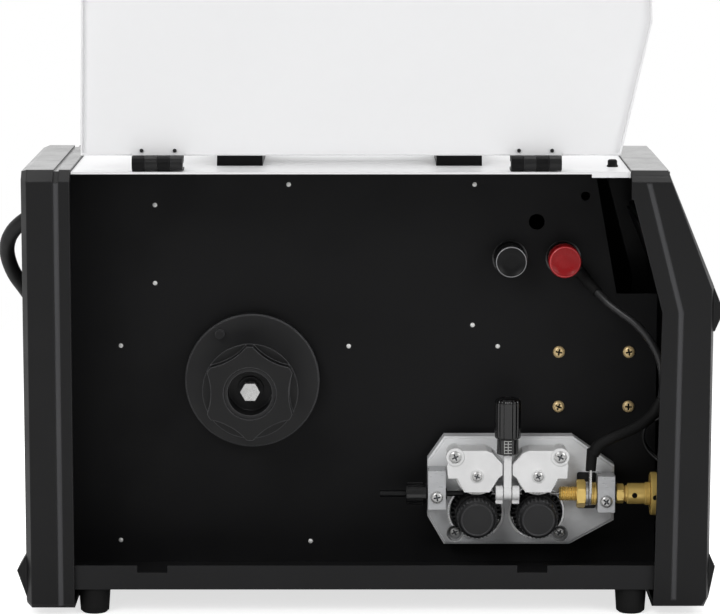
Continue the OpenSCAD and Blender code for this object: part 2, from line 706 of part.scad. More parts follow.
module hinge_fixed_leaves() {
  w = hinge_l / knuckles;
  color("#121212") for (x = hinge_xs) difference() {
    union() {
      for (k = [0, 2]) {
        x0 = x - hinge_l / 2 + k * w + fit / 2;
        knuckle(x, k);
        block([x0, hinge_y, cover_z], [x0 + w - fit, hinge_y + 8, cover_z + leaf_t + 1.4]);
      }
      block([x - hinge_l / 2, hinge_y + knuckle_r + 0.7, cover_z],
        [x + hinge_l / 2, hinge_y + 17, cover_z + leaf_t]);
    }
    for (d = [-1, 1] * hinge_screw_dx)
      translate([x + d, hinge_y + 11.6, cover_z]) cylinder(r = 2.1, h = 0.8);
  }
}

module hinge_pins() {
  color("#9a9b9d") for (x = hinge_xs)
    xcyl(pin_r, x - hinge_l / 2 + 0.5, x + hinge_l / 2 - 0.5, hinge_y, hinge_z);
}

module hinge_door_leaves() {
  w = hinge_l / knuckles;
  y0 = door_out_y - leaf_t;
  color("#121212") for (x = hinge_xs) {
    for (k = [1, 3]) knuckle(x, k);
    opened() difference() {
      union() {
        block([x - hinge_l / 2, y0, hinge_z - 15], [x + hinge_l / 2, door_out_y, hinge_z - 2.4]);
        for (k = [1, 3]) {
          x0 = x - hinge_l / 2 + k * w + fit / 2;
          difference() {
            block([x0, y0, hinge_z - 3.6], [x0 + w - fit, hinge_y - pin_r - 1, hinge_z - 1.2]);
            xcyl(pin_r + 1, x0 - 1, x0 + w, hinge_y, hinge_z);
          }
        }
      }
      for (d = [-1, 1] * hinge_screw_dx) ycyl(1.3, y0 - 1, y0 + 3, x + d, hinge_z - leaf_hole);
    }
    opened() for (d = [-1, 1] * hinge_screw_dx)
      translate([x + d, y0, hinge_z - leaf_hole]) rotate([90, 0, 0])
        pan_screw(2.4, 1.2, 1.25, leaf_t + door_t + 1.3);
  }
}

// A slide latch: its hook drops over the notch in the tray's flange, its grip shows outside
module door_latch(x) {
  y0 = door_out_y;
  hook_y = -case_half + sheet_t + 0.4;
  color("#161617") opened() {
    block([x - latch_w / 2, y0 + door_t + 0.1, latch_z - 1],
      [x + latch_w / 2, y0 + door_t + 1.9, latch_z + 30]);
    block([x - 8, y0 + door_t + 0.1, latch_z - 1], [x + 8, hook_y + 1.8, latch_z + 1]);
    block([x - 8, hook_y, latch_z - 6], [x + 8, hook_y + 1.8, latch_z + 1]);
    block([x - 5.6, y0 - 1, latch_z + 10], [x + 5.6, y0 + door_t + 0.2, latch_z + 18]);
    for (k = [0:3]) block([x - 5.6, y0 - 1.8, latch_z + 10 + k * 2.2],
      [x + 5.6, y0 - 0.9, latch_z + 11.4 + k * 2.2]);
  }
}

module door_latch_rear() { door_latch(latch_xs[0]); }
module door_latch_front() { door_latch(latch_xs[1]); }

// ---- wire spool holder ----

module spool_spindle() {
  y1 = div_back + 3;
  color("#c8c9cb") {
    ycyl(bolt_r, bolt_tip + 2, y1, spool_x, spool_z);
    translate([spool_x, bolt_tip + 5.5, spool_z]) rotate([90, 0, 0]) cylinder(r = 6.9, h = 5.5, $fn = 6);
    ycyl(5.8, bolt_tip + 5, hub_front + 5.4, spool_x, spool_z);
    ycyl(9, hub_front + 5, hub_front + 6.6, spool_x, spool_z);
    difference() {
      ycyl(13, hub_back + fit, div_front, spool_x, spool_z);
      ycyl(bolt_r, hub_back, div_front + 1, spool_x, spool_z);
    }
    ycyl(7, div_back, y1, spool_x, spool_z);
  }
}

module spool_hub() {
  y_flange = hub_back - hub_flange_t;
  color("#2b2b2c") difference() {
    union() {
      ycyl(hub_flange_r, y_flange + 1, hub_back, spool_x, spool_z);
      ycyl(hub_flange_r - 0.8, y_flange, hub_back, spool_x, spool_z);
      ycyl(hub_r, hub_front, hub_back, spool_x, spool_z);
      ycyl(nut_sleeve_r, hub_front - nut_t + 1, hub_front + 1, spool_x, spool_z);
      ycyl(3.2, y_flange - 4.5, y_flange + 1, spool_x - 22.8, spool_z + 33.7);
    }
    ycyl(nut_sleeve_r - 2.7, hub_front - nut_t, hub_front + 7.2, spool_x, spool_z);
    ycyl(bolt_r + run, hub_front, hub_back + 1, spool_x, spool_z);
    for (a = [0:60:300]) rotate_about_spool(a) ycyl(6, y_flange + 8, hub_back + 1, spool_x + 34, spool_z);
  }
}

module rotate_about_spool(a) {
  translate([spool_x, 0, spool_z]) rotate([0, a, 0]) translate([-spool_x, 0, -spool_z]) children();
}

// The six-lobed nut: scallops between the lobes, on a thin round flange
module spool_nut() {
  y1 = hub_front - fit;
  y0 = y1 - nut_t;
  color("#262627") difference() {
    union() {
      ycyl(nut_r, y1 - 3, y1, spool_x, spool_z);
      difference() {
        ycyl(nut_r - 0.4, y0, y1, spool_x, spool_z);
        for (a = [0:60:300]) rotate_about_spool(a)
          ycyl(lobe_cut_r, y0 - 1, y1 - 3, spool_x + nut_r - 6.3 + lobe_cut_r, spool_z);
      }
    }
    ycyl(nut_sleeve_r + run, y0 - 1, y1 + 1, spool_x, spool_z);
  }
}

// ---- wire feeder ----

function plate_points(s) = [
  [feeder_x - 44.3 + s, wire_z + 39.2 - s], [feeder_x + 47.2 - s, wire_z + 39.2 - s],
  [feeder_x + 77 - s, wire_z + 18.4 - s], [feeder_x + 77 - s, wire_z - 21.4 + s],
  [feeder_x + 45.3 - s, wire_z - 38.8 + s], [feeder_x - 44.2 + s, wire_z - 38.8 + s],
  [feeder_x - 56 + s, wire_z - 18.4 + s], [feeder_x - 56 + s, wire_z + 22.5 - s]
];
function feeder_screw_places() = [[feeder_x - 36.4, wire_z - 31], [feeder_x + 38.4, wire_z - 31.2]];
function anchor_places() = [[feeder_x - 38, wire_z + 33], [feeder_x + 62, wire_z + 18]];

module feeder_insulator() {
  color("#0e0e0e") difference() {
    yprism(plate_points(2), plate_back, div_front);
    ycyl(pinion_r + 3, plate_back - 1, div_front + 1, feeder_x, pinion_z);
    for (p = feeder_screw_places()) ycyl(2.6, plate_back - 1, div_front + 1, p[0], p[1]);
  }
}

module feeder_plate() {
  lug_xs = [[feeder_x - 8.3, feeder_x - 3.3], [feeder_x + 3.3, feeder_x + 8.3]];
  color("#b9bbbd") difference() {
    union() {
      yprism(plate_points(0), plate_front + 1, plate_back);
      yprism(plate_points(1.2), plate_front, plate_back);
      for (x = roll_xs) ycyl(opening_r + 1.6, plate_front - 1.2, plate_back, x, roll_z);
      block([block_inlet[0], wire_y - 9, wire_z - 10], [block_inlet[1], plate_back, wire_z + 18]);
      block([block_outlet[0], wire_y - 9, wire_z - 12], [block_outlet[1], plate_back, wire_z + 14]);
      for (l = lug_xs) {
        block([l[0], lever_y, wire_z - 5], [l[1], plate_back, wire_z + 6.5]);
        xcyl(5, l[0], l[1], lever_y, lever_z);
      }
      for (x = roll_xs) {
        ycyl(axle_r, wire_y - roll_w / 2 - 3, plate_back, x, roll_z);
      }
      for (s = [-1, 1])
        ycyl(3, arm_front + arm_plate_t + 0.6, plate_back, feeder_x + s * arm_pivot_dx, arm_pivot_z);
    }
    for (x = roll_xs) difference() {
      ycyl(opening_r, plate_front - 5, plate_back - 1, x, roll_z);
      ycyl(axle_r, plate_front - 6, plate_back, x, roll_z);
    }
    ycyl(pinion_r + 1.8, plate_back - 8, plate_back + 1, feeder_x, pinion_z);
    xcyl(adapter_neck_r + run, block_outlet[0] - 1, block_outlet[1] + 1, wire_y, wire_z);
    xcyl(4.2, block_inlet[0] - 1, block_inlet[1] + 1, wire_y, wire_z);
    for (l = lug_xs) {
      xcyl(guide_r + run, l[0] - 1, l[1] + 1, wire_y, wire_z);
      xcyl(2.5 + run, l[0] - 1, l[1] + 1, lever_y, lever_z);
    }
    for (p = feeder_screw_places()) {
      ycyl(5.8, plate_front - 4, plate_front + 6, p[0], p[1]);
      ycyl(2.6, plate_front - 4, plate_back + 1, p[0], p[1]);
    }
    ycyl(2.1, wire_y - 10, wire_y - 4.5, (block_inlet[0] + block_inlet[1]) / 2, wire_z - 1);
    ycyl(2.1, wire_y - 10, wire_y - 4.9, (block_outlet[0] + block_outlet[1]) / 2, wire_z - 4);
  }
}

module feeder_screws() {
  color("#d9dadb") {
    for (p = feeder_screw_places()) translate([p[0], plate_front + 6, p[1]]) rotate([90, 0, 0])
      pan_screw(4.3, 4, 2.5, plate_t - 6 + insulator_t);
    translate([(block_inlet[0] + block_inlet[1]) / 2, wire_y - 9, wire_z - 1])
      rotate([90, 0, 0]) pan_screw(4.2, 2.6, 2, 4);
    translate([(block_outlet[0] + block_outlet[1]) / 2, wire_y - 9, wire_z - 4])
      rotate([90, 0, 0]) pan_screw(4.2, 2.6, 2, 3.6);
  }
}

module feed_motor() {
  color("#3c3d3f") {
    difference() {
      block([feeder_x - 30, div_back, pinion_z - 26], [feeder_x + 30, div_back + 24, pinion_z + 34]);
      ycyl(3.1, div_back - 1, div_back + 12, feeder_x, pinion_z);
    }
    ycyl(29, div_back + 24, div_back + 78, feeder_x, pinion_z + 4);
    ycyl(8, div_back + 78, div_back + 82, feeder_x, pinion_z + 4);
  }
}

module motor_pinion() {
  color("#55565a") {
    translate([feeder_x, plate_back - 1.8, pinion_z]) rotate([90, 0, 0])
      rotate([0, 0, pinion_phase()]) linear_extrude(5.6) gear(pinion_teeth);
    ycyl(3, plate_back - 3, div_back + 10, feeder_x, pinion_z);
  }
}

// Turns of the gears in their planes, so that both drive gears mesh with the pinion
function pinion_phase() = mesh_angle + 180 + 180 / pinion_teeth;
function front_gear_phase() = let(
  tooth = 360 / pinion_teeth,
  past = (360 - mesh_angle - pinion_phase()) / tooth)
  180 - mesh_angle + (past - floor(past) - 0.5) * 360 / gear_teeth;

module drive_roll(x, phase) {
  y0 = wire_y - roll_w / 2;
  color("#4a4b4e") difference() {
    union() {
      translate([x, gear_back, roll_z]) rotate([90, 0, 0]) rotate([0, 0, phase])
        linear_extrude(gear_back - gear_front) gear(gear_teeth);
      ycyl(9, y0 + roll_w - 1, gear_front + 1, x, roll_z);
      translate([x, y0 + roll_w, roll_z]) rotate([90, 0, 0]) rotate_extrude() polygon([[0, 0], [roll_r, 0],
        [roll_r, roll_w / 2 - 0.8], [roll_r - 0.7, roll_w / 2], [roll_r, roll_w / 2 + 0.8],
        [roll_r, roll_w], [0, roll_w]]);
    }
    ycyl(axle_r + run, y0 - 1, gear_back + 1, x, roll_z);
  }
}

module drive_roll_rear() { drive_roll(roll_xs[0], mesh_angle); }
module drive_roll_front() { drive_roll(roll_xs[1], front_gear_phase()); }

module roll_cap(x) {
  y1 = wire_y - roll_w / 2;
  color("#1a1a1b") difference() {
    union() {
      translate([x, y1, roll_z]) rotate([90, 0, 0]) rotate_extrude() polygon([[0, 0], [13.4, 0], [13.4, 4],
        [13.2, 13], [11.4, 15.4], [10.6, 15.4], [10.6, 14.8], [0, 14.8]]);
      for (a = [0:12:348]) translate([x, 0, roll_z]) rotate([0, a, 0]) translate([-x, 0, -roll_z])
        block([x + 13, y1 - 12.5, roll_z - 0.5], [x + 13.9, y1 - 1, roll_z + 0.5]);
    }
    ycyl(axle_r + run, y1 - 4, y1 + 1, x, roll_z);
  }
}

module roll_cap_rear() { roll_cap(roll_xs[0]); }
module roll_cap_front() { roll_cap(roll_xs[1]); }

// Outline of a pressure arm; s mirrors it about the feeder's middle
function arm_points(s) = [for (p = [[-40.6, 33.4], [-15, 33.4], [-10.5, 31.5], [-3.6, 23.5], [-3.6, 16],
  [-6.5, 13.6], [-12.6, 3.6], [-30.6, 3.6], [-35.4, 13.4], [-42, 13.4], [-42.8, 22]])
  [feeder_x - s * p[0], wire_z + p[1]]];

module pressure_arm(s) {
  px = feeder_x + s * arm_pivot_dx;
  rx = feeder_x + s * roll_pitch / 2;
  color("#dcdddd") difference() {
    union() {
      yprism(arm_points(s), arm_front, arm_front + arm_plate_t);
      ycyl(6.4, arm_front - 0.8, arm_front + arm_plate_t, px, arm_pivot_z);
      ycyl(5.4, arm_front + arm_plate_t - 1, arm_back, px, arm_pivot_z);
      ycyl(4.4, arm_front - 0.8, arm_front + 1, rx, press_z);
      yprism([for (p = [[-34, 31], [-34, 33.4], [-15, 33.4], [-10.5, 31.5], [-12, 31]])
        [feeder_x - s * p[0], wire_z + p[1]]], arm_front + 1, arm_back);
      yprism([for (p = [[-40.6, 33.4], [-15, 33.4], [-10.5, 31.5], [-3.6, 23.5], [-5, 17], [-30, 14]])
        [feeder_x - s * p[0], wire_z + p[1]]], arm_back - 2.6, arm_back);
      ycyl(axle_r, arm_front + 2, arm_back - 1, rx, press_z);
    }
    ycyl(3 + run, arm_front + arm_plate_t - 0.5, arm_back + 1, px, arm_pivot_z);
    for (x = [px, rx]) ycyl(1.6, arm_front - 2, arm_front + 1.4, x, x == px ? arm_pivot_z : press_z);
  }
}

module pressure_arm_rear() { pressure_arm(-1); }
module pressure_arm_front() { pressure_arm(1); }

module pressure_roll(x) {
  y0 = wire_y - roll_w / 2;
  color("#8d8f92") difference() {
    ycyl(roll_r - 0.1, y0, y0 + roll_w, x, press_z);
    ycyl(axle_r + run, y0 - 1, y0 + roll_w + 1, x, press_z);
  }
}

module pressure_roll_rear() { pressure_roll(roll_xs[0]); }
module pressure_roll_front() { pressure_roll(roll_xs[1]); }

module tension_lever() {
  color("#c3c5c7") {
    difference() {
      union() {
        xcyl(4.8, feeder_x - 2.7, feeder_x + 2.7, lever_y, lever_z);
        block([feeder_x - 2.7, lever_y - 2.6, lever_z], [feeder_x + 2.7, lever_y + 2.6, tension_z0 - 1]);
        translate([feeder_x, lever_y, tension_z0 - 2]) cylinder(r = 2.6, h = 26);
      }
      xcyl(2.5, feeder_x - 4, feeder_x + 4, lever_y, lever_z);
    }
    xcyl(2.5, feeder_x - 8.3, feeder_x + 8.3, lever_y, lever_z);
  }
}

module tension_knob() {
  h = tension_z1 - tension_z0;
  color("#151516") translate([feeder_x, lever_y, tension_z0]) difference() {
    union() {
      rotate_extrude() polygon([[0, 0], [7.4, 0], [7.7, 0.6], [7.7, 11], [tension_r, 11.6],
        [tension_r, h - 13], [tension_r - 0.5, h - 12.4], [tension_r, h - 11.8], [tension_r, h - 2],
        [tension_r - 1.6, h], [0, h]]);
      for (a = [0:18:342]) rotate([0, 0, a]) translate([tension_r - 0.5, -0.5, 13]) cube([1, 1, h - 27]);
    }
    translate([0, 0, -1]) cylinder(r = 2.6 + run, h = 27);
  }
}

module wire_guides() {
  color("#2a2a2a") {
    xcyl(guide_r, feeder_x - 5, feeder_x + 5, wire_y, wire_z);
    xcyl(2.4, block_inlet[0] - 34, block_inlet[0] - 15.6, wire_y, wire_z);
    xcyl(4.2, block_inlet[0] - 1, block_inlet[1] + 1, wire_y, wire_z);
    xcyl(guide_r, block_inlet[0] - 16, roll_xs[0] - 9.5, wire_y, wire_z);
  }
}

module inlet_nut() {
  x1 = block_inlet[0] - 1.2;
  color("#1c1c1d") difference() {
    union() {
      xcyl(7.4, x1 - 14, x1, wire_y, wire_z);
      for (a = [0:30:330]) translate([0, wire_y, wire_z]) rotate([a, 0, 0])
        block([x1 - 13.4, 6.8, -1.1], [x1 - 2.6, 8.2, 1.1]);
    }
    xcyl(guide_r + run, x1 - 15, x1 + 1, wire_y, wire_z);
  }
}

module torch_adapter() {
  x0 = block_outlet[0];
  x1 = block_outlet[1];
  f = adapter_flange_x;
  color("#c9a13c") difference() {
    union() {
      xcyl(adapter_neck_r, x0 - 5, x1 + 2, wire_y, wire_z);
      xcyl(4.6, x0 - 27, x0 - 14, wire_y, wire_z);
      for (k = [0:4]) xcyl(5.1, x0 - 26 + k * 2.2, x0 - 24.9 + k * 2.2, wire_y, wire_z);
      translate([x0 - 14.6, wire_y, wire_z]) rotate([0, 90, 0]) cylinder(r = 10, h = 6, $fn = 6);
      xcyl(8.6, x0 - 8.7, x0 - 6, wire_y, wire_z);
      xcyl(8.2, x0 - 4.5, x0, wire_y, wire_z);
      translate([x1 + 1.4, wire_y, wire_z]) rotate([0, 90, 0]) cylinder(r = 7, h = 5.2, $fn = 6);
      xcyl(adapter_neck_r, x1 + 2, x1 + 10, wire_y, wire_z);
      xcyl(adapter_r, x1 + 9, f + 1, wire_y, wire_z);
      xcyl(15.4, f, f + 5, wire_y, wire_z);
      xcyl(9, f + 4, panel_x + 3, wire_y, wire_z);
      xcyl(adapter_neck_r, x0 - 9, x0 - 3, wire_y, wire_z);
    }
    xcyl(1.4, x0 - 30, panel_x + 10, wire_y, wire_z);
    ycyl(2, wire_y - 10, wire_y - 4, x1 + 14, wire_z);
    ycyl(1.9, wire_y - 18, wire_y - 11, f + 2.5, wire_z);
    translate([f - 6, wire_y, wire_z + 4]) cylinder(r = 2, h = 8);
  }
}

module torch_socket() {
  f = adapter_flange_x + 5;
  color("#161617") difference() {
    union() {
      xcyl(socket_r - 3, f, panel_x + 4, wire_y, wire_z);
      xcyl(socket_r, f, panel_x - panel_t, wire_y, wire_z);
      xprism([for (a = [0:1:3], b = [-12, 12]) let(r = 26, q = 90 * a + b + 45)
        [wire_y + r * cos(q), wire_z + r * sin(q)]], panel_x, panel_x + 4);
      xcyl(19, panel_x + 3, panel_x + 9.5, wire_y, wire_z);
    }
    xcyl(9 + run, f - 1, panel_x + 3, wire_y, wire_z);
    xcyl(13.5, panel_x + 3, panel_x + 12, wire_y, wire_z);
  }
}

// ---- terminals and the polarity lead ----

module terminal_studs() {
  color("#1a1a1a") for (x = terminal_xs) difference() {
    union() {
      ycyl(12.6, div_front - 3, div_front, x, terminal_z);
      ycyl(6, div_front - 6.2, div_front, x, terminal_z);
      ycyl(4.4, div_front - 1, div_back + 2, x, terminal_z);
      ycyl(9, div_back, div_back + 6, x, terminal_z);
    }
    ycyl(3.05, div_front - 7, div_back + 7, x, terminal_z);
  }
  color("#c8a858") for (x = terminal_xs)
    ycyl(3, div_front - terminal_out + 8, div_back + 14, x, terminal_z);
}

module terminal_knob(x) {
  y1 = div_front - 8.4;
  y0 = div_front - terminal_out;
  difference() {
    union() {
      translate([x, y1, terminal_z]) rotate([90, 0, 0]) rotate_extrude() polygon([[0, 0], [terminal_r - 1, 0],
        [terminal_r, 1], [terminal_r, y1 - y0 - 1.2], [terminal_r - 0.9, y1 - y0 - 0.1],
        [terminal_r - 2, y1 - y0 - 0.5], [0, y1 - y0]]);
      for (a = [0:20:340]) translate([x, 0, terminal_z]) rotate([0, a, 0])
        block([terminal_r - 0.4, y0 + 3, -0.6], [terminal_r + 0.5, y1 - 2, 0.6]);
    }
    ycyl(3 + run, y0 + 7.5, y1 + 1, x, terminal_z);
  }
}

module red_terminal() { color("#b3161d") terminal_knob(terminal_xs[1]); }
module black_terminal() { color("#1a1a1b") terminal_knob(terminal_xs[0]); }

module jumper_cable() {
  color("#1b1b1c") sweep(jumper_route, jumper_r, jumper_r, 10);
  for (d = [0, 3]) color(d == 0 ? "#8a1f24" : "#d8d8d6")
    sweep([for (p = wire_route) p + [0, d, d * 0.4]], 1.1, 1.1, 8);
}

// The ring lug under the red terminal, the lug on the torch adapter and its sleeve
module jumper_lugs() {
  x = terminal_xs[1];
  y = div_front - 8;
  lug_x = block_outlet[0] - 5.1;
  a = jumper_route[0];
  color("#c9cacc") {
    difference() {
      union() {
        ycyl(7, y, y + 1.6, x, terminal_z);
        yprism([[x + 1, terminal_z - 6.9], [x + 6.9, terminal_z - 1], [a[0] + 3, a[2] + 2],
          [a[0] - 1.6, a[2] - 2.6]],
          y, y + 1.6);
      }
      ycyl(3 + run, y - 1, y + 3, x, terminal_z);
    }
    difference() {
      union() {
        xcyl(8.4, lug_x - 0.9, lug_x + 0.6, wire_y, wire_z);
        block([lug_x - 0.9, wire_y - 12, wire_z + 2], [lug_x + 0.6, wire_y - 4, wire_z + 19]);
      }
      xcyl(adapter_neck_r + run, lug_x - 2, lug_x + 2, wire_y, wire_z);
    }
  }
  color("#101010") hull() {
    translate([lug_x, wire_y - 8, wire_z + 18]) cylinder(r = 3.6, h = 1, $fn = 32);
    translate([lug_x + 1, wire_y - 9, wire_z + 33]) cylinder(r = 3.9, h = 1, $fn = 32);
  }
}

// ---- ends ----

module output_sockets() {
  color("#141415") for (y = output_ys()) difference() {
    union() {
      xcyl(17, panel_x, panel_x + 4, y, output_z());
      xcyl(14, panel_x + 3, panel_x + 9, y, output_z());
      xcyl(output_bore_r + 3.9, panel_x - 22, panel_x + 1, y, output_z());
    }
    xcyl(output_bore_r, panel_x - 16, panel_x + 10, y, output_z());
  }
  color("#c9a13c") for (y = output_ys()) xcyl(5, panel_x - 34, panel_x - 22, y, output_z());
}

module dial(y) {
  color("#1b1b1c") on_panel(dial_h(), y) {
    difference() {
      union() {
        translate([0, 0, fit]) rotate_extrude()
          polygon([[0, 0], [dial_r, 0], [dial_r - 0.4, 6], [dial_r - 1.6, 7.2], [0, 7.2]]);
        for (a = [0:15:345]) rotate([0, 0, a]) translate([dial_r - 0.8, -0.6, 1]) cube([1, 1.2, 5]);
      }
      translate([2 - dial_r, -0.7, 6.6]) cube([dial_r - 4, 1.4, 1.2]);
    }
    translate([0, 0, -8]) cylinder(r = 3, h = 9);
  }
}

module left_dial() { dial(dial_ys()[0]); }
module right_dial() { dial(dial_ys()[1]); }

// The power board beside the divider and the control board with its display behind the front
module circuit_boards() {
  color("#1e5a36") {
    block([board_x[0], div_back + 5, board_z[0]], [board_x[1], div_back + 6.6, board_z[1]]);
    difference() {
      on_panel(0.372 * panel_rise, 0) translate([0, 0, -14])
        cube([0.767 * panel_rise, 140, 1.6], center = true);
      for (y = dial_ys()) on_panel(dial_h(), y) translate([0, 0, -20]) cylinder(r = 3.4, h = 13);
    }
  }
  color("#101418") on_panel(display_h, 0) translate([0, 0, -6.8])
    cube([display_w[0] - 0.6, display_w[1] - 0.6, 13], center = true);
  color("#8f9092") {
    for (x = board_x + [4, -4], z = board_z + [4, -4]) ycyl(3, div_back, div_back + 5.1, x, z);
    for (y = [-66, 66]) on_panel(4, y) translate([0, 0, -13.4]) cylinder(r = 3, h = 11.3);
  }
}

module heat_sinks() {
  xs = board_x + [10, -12];
  h = (board_z[1] - board_z[0] - 44) / 2;
  pitch = (h - 2.4) / 7;
  color("#a9abae") for (z = [board_z[0] + 12, board_z[0] + h + 30]) {
    block([xs[0], div_back + 12, z], [xs[1], div_back + 18, z + h]);
    for (k = [0:7])
      block([xs[0], div_back + 17, z + k * pitch], [xs[1], div_back + 54, z + k * pitch + 2]);
    for (x = xs + [10, -10]) ycyl(3, div_back + 6.6, div_back + 12.1, x, z + h / 2);
  }
}

// The transformer, the output choke and two tall capacitors on the tray
module magnetics() {
  x0 = rear_in + 78.5;
  x1 = x0 + 60;
  y0 = div_back + 20.5;
  y1 = case_half - 24.7;
  cap_x = feeder_x - 52.2;
  mid = (y0 + y1) / 2;
  choke_r = (cap_x - x1) * 0.268;
  color("#2e2f31") difference() {
    block([x0, y0, floor_z], [x1, y1, floor_z + 62]);
    block([x0 - 1, y0 + 12, floor_z + 14], [x1 + 1, y1 - 12, floor_z + 48]);
  }
  color("#b06a33") block([x0 + 6, y0 + 12, floor_z + 14], [x1 - 6, y1 - 12, floor_z + 48]);
  color("#4a2f20") translate([(x1 + cap_x) / 2, mid, floor_z]) difference() {
    cylinder(r = choke_r, h = 26);
    translate([0, 0, -1]) cylinder(r = choke_r * 0.43, h = 28);
  }
  color("#23405e") for (y = [-19, 19]) translate([cap_x, mid + y, floor_z]) cylinder(r = 15, h = 52);
}

module fan_frame() {
  x0 = rear_panel_x + sheet_t;
  y = fan_y();
  z = fan_z();
  s = fan_w / 2;
  color("#151516") {
    difference() {
      block([x0, y - s, z - s], [x0 + 25, y + s, z + s]);
      xcyl(s - 3.5, x0 - 1, x0 + 26, y, z);
    }
    difference() {
      xcyl(17, x0 + 21.5, x0 + 25, y, z);
      xcyl(2 + run, x0 + 21, x0 + 24, y, z);
    }
    for (a = [45:90:315]) translate([0, y, z]) rotate([a, 0, 0])
      block([x0 + 22, 16, -2], [x0 + 25, s - 2.5, 2]);
  }
  color("#a9abae") {
    for (r = [14:9:s - 8]) translate([rear_panel_x - 2.2, y, z]) rotate([0, 90, 0])
      difference() {
        cylinder(r = r + 1, h = 2);
        translate([0, 0, -1]) cylinder(r = r - 1, h = 4);
      }
    for (a = [45:90:315]) translate([0, y, z]) rotate([a, 0, 0])
      block([rear_panel_x - 2.2, 13.5, -1], [rear_panel_x - 0.2, s + 2, 1]);
    for (a = [45:90:315]) translate([0, y, z]) rotate([a, 0, 0])
      xcyl(3, rear_panel_x - 2.2, rear_panel_x, s + 3.5, 0);
  }
}

module fan_rotor() {
  x0 = rear_panel_x + sheet_t + 3;
  y = fan_y();
  z = fan_z();
  color("#242425") {
    xcyl(19, x0, x0 + 18, y, z);
    for (a = [0:51.43:309]) translate([x0 + 9, y, z]) rotate([a, 0, 0])
      translate([0, 18, 0]) rotate([0, 35, 0]) translate([-1, 0, -8]) cube([2, fan_w / 2 - 24, 16]);
    xcyl(2, x0 + 17.5, x0 + 20.5, y, z);
  }
}

module gas_valve() {
  y = fan_y();
  x0 = rear_panel_x + sheet_t;
  color("#c9a13c") {
    xcyl(gas_r + 1.5, rear_panel_x - 4, x0 + 8, y, 52);
    difference() {
      xcyl(gas_r, rear_panel_x - 22, rear_panel_x, y, 52);
      xcyl(gas_r - 1.5, rear_panel_x - 23, rear_panel_x - 3, y, 52);
    }
    translate([rear_panel_x - 6, y, 52]) rotate([0, 90, 0]) cylinder(r = gas_r + 4, h = 6, $fn = 6);
  }
  color("#2c2d2f") {
    block([x0 + 7, y - 13, 38], [x0 + 40, y + 13, 66]);
    block([x0 + 7, y - 11, floor_z], [x0 + 40, y + 11, 38]);
  }
}

// A box along X round the mains switch's rocker, d larger all round
module switch_box(d, x0, x1) {
  block([x0, switch_at[0] - rocker_half[0] - d, switch_at[1] - rocker_half[1] - d],
    [x1, switch_at[0] + rocker_half[0] + d, switch_at[1] + rocker_half[1] + d]);
}

module switch_body() {
  color("#121212") difference() {
    union() {
      switch_box(4.5, rear_panel_x - 2, rear_panel_x);
      switch_box(2.4, rear_panel_x - 2, rear_panel_x + 16);
    }
    switch_box(1, rear_panel_x - 3, rear_panel_x + 8);
    ycyl(1.5 + run, switch_at[0] - rocker_half[0] - 2, switch_at[0] + rocker_half[0] + 2,
      rocker_x, switch_at[1]);
  }
}

// The rocker of the mains switch, tipped to its off side, on its two pivots
module power_rocker() {
  w = rocker_half[0];
  h = rocker_half[1];
  color("#b3161d") {
    translate([rocker_x, switch_at[0], switch_at[1]]) rotate([90, 0, 0]) rotate([0, 0, rocker_tip])
      linear_extrude(2 * w, center = true) polygon([[-5.5, -h], [-3.6, 0], [-5.5, h], [3, h], [3, -h]]);
    ycyl(1.5, switch_at[0] - w - 1.9, switch_at[0] + w + 1.9, rocker_x, switch_at[1]);
  }
}

// ---- mains lead ----

module mains_lead() {
  n = len(lead_route);
  color("#1c1c1d") sweep([for (i = [relief_rings:n - 1]) lead_route[i]], lead_r, lead_r, 12);
}

module strain_relief() {
  color("#161617") {
    sweep([for (i = [0:relief_rings]) lead_route[i]], lead_r + 3, lead_r + 1, 16);
    xcyl(lead_r + 6, rear_panel_x - 3, rear_panel_x, lead_route[0][1], lead_route[0][2]);
    xcyl(lead_r + 2.4, rear_panel_x - 3, rear_panel_x + 14, lead_route[0][1], lead_route[0][2]);
  }
}

module mains_coil() {
  c = coil_half;
  color("#1c1c1d") translate([coil_at[0], coil_at[1], 0.5]) rotate_extrude()
    polygon([[coil_r - c, 3], [coil_r - c + 3, 0], [coil_r + c - 3, 0], [coil_r + c, 3],
      [coil_r + c, 4 * lead_r - 3], [coil_r + c - 3, 4 * lead_r], [coil_r - c + 3, 4 * lead_r],
      [coil_r - c, 4 * lead_r - 3]]);
}

module mains_plug() {
  z = plug_half[1] + 0.5;
  corners = [[-1, -0.6], [-0.6, -1], [0.6, -1], [1, -0.6], [1, 0.6], [0.6, 1], [-0.6, 1], [-1, 0.6]];
  translate([plug_from[0], plug_from[1], z]) mirror([1, 0, 0]) {
    color("#171718") {
      xcyl(lead_r + 1.5, 0, 26, 0, 0);
      translate([24, 0, 0]) rotate([0, 90, 0]) linear_extrude(34)
        polygon([for (p = corners) [p[0] * plug_half[1], p[1] * plug_half[0]]]);
    }
    color("#c9a13c") for (y = [-9, 9]) xcyl(2.4, 57, 77, y, 0);
  }
}

base_tray();
top_cover();
divider_panel();
rear_bezel();
rear_panel();
front_bezel();
front_panel();
rubber_feet();
carry_handle();
case_screws();
hinge_fixed_leaves();
hinge_pins();
divider_rivets();
divider_screws();
door_panel();
hinge_door_leaves();
door_latch_rear();
door_latch_front();
spool_spindle();
spool_hub();
spool_nut();
feeder_insulator();
feeder_plate();
feeder_screws();
feed_motor();
motor_pinion();
drive_roll_rear();
drive_roll_front();
roll_cap_rear();
roll_cap_front();
pressure_arm_rear();
pressure_arm_front();
pressure_roll_rear();
pressure_roll_front();
tension_lever();
tension_knob();
wire_guides();
inlet_nut();
torch_adapter();
torch_socket();
jumper_cable();
jumper_lugs();
terminal_studs();
red_terminal();
black_terminal();
output_sockets();
circuit_boards();
heat_sinks();
magnetics();
fan_frame();
fan_rotor();
gas_valve();
switch_body();
power_rocker();
left_dial();
right_dial();
strain_relief();
mains_lead();
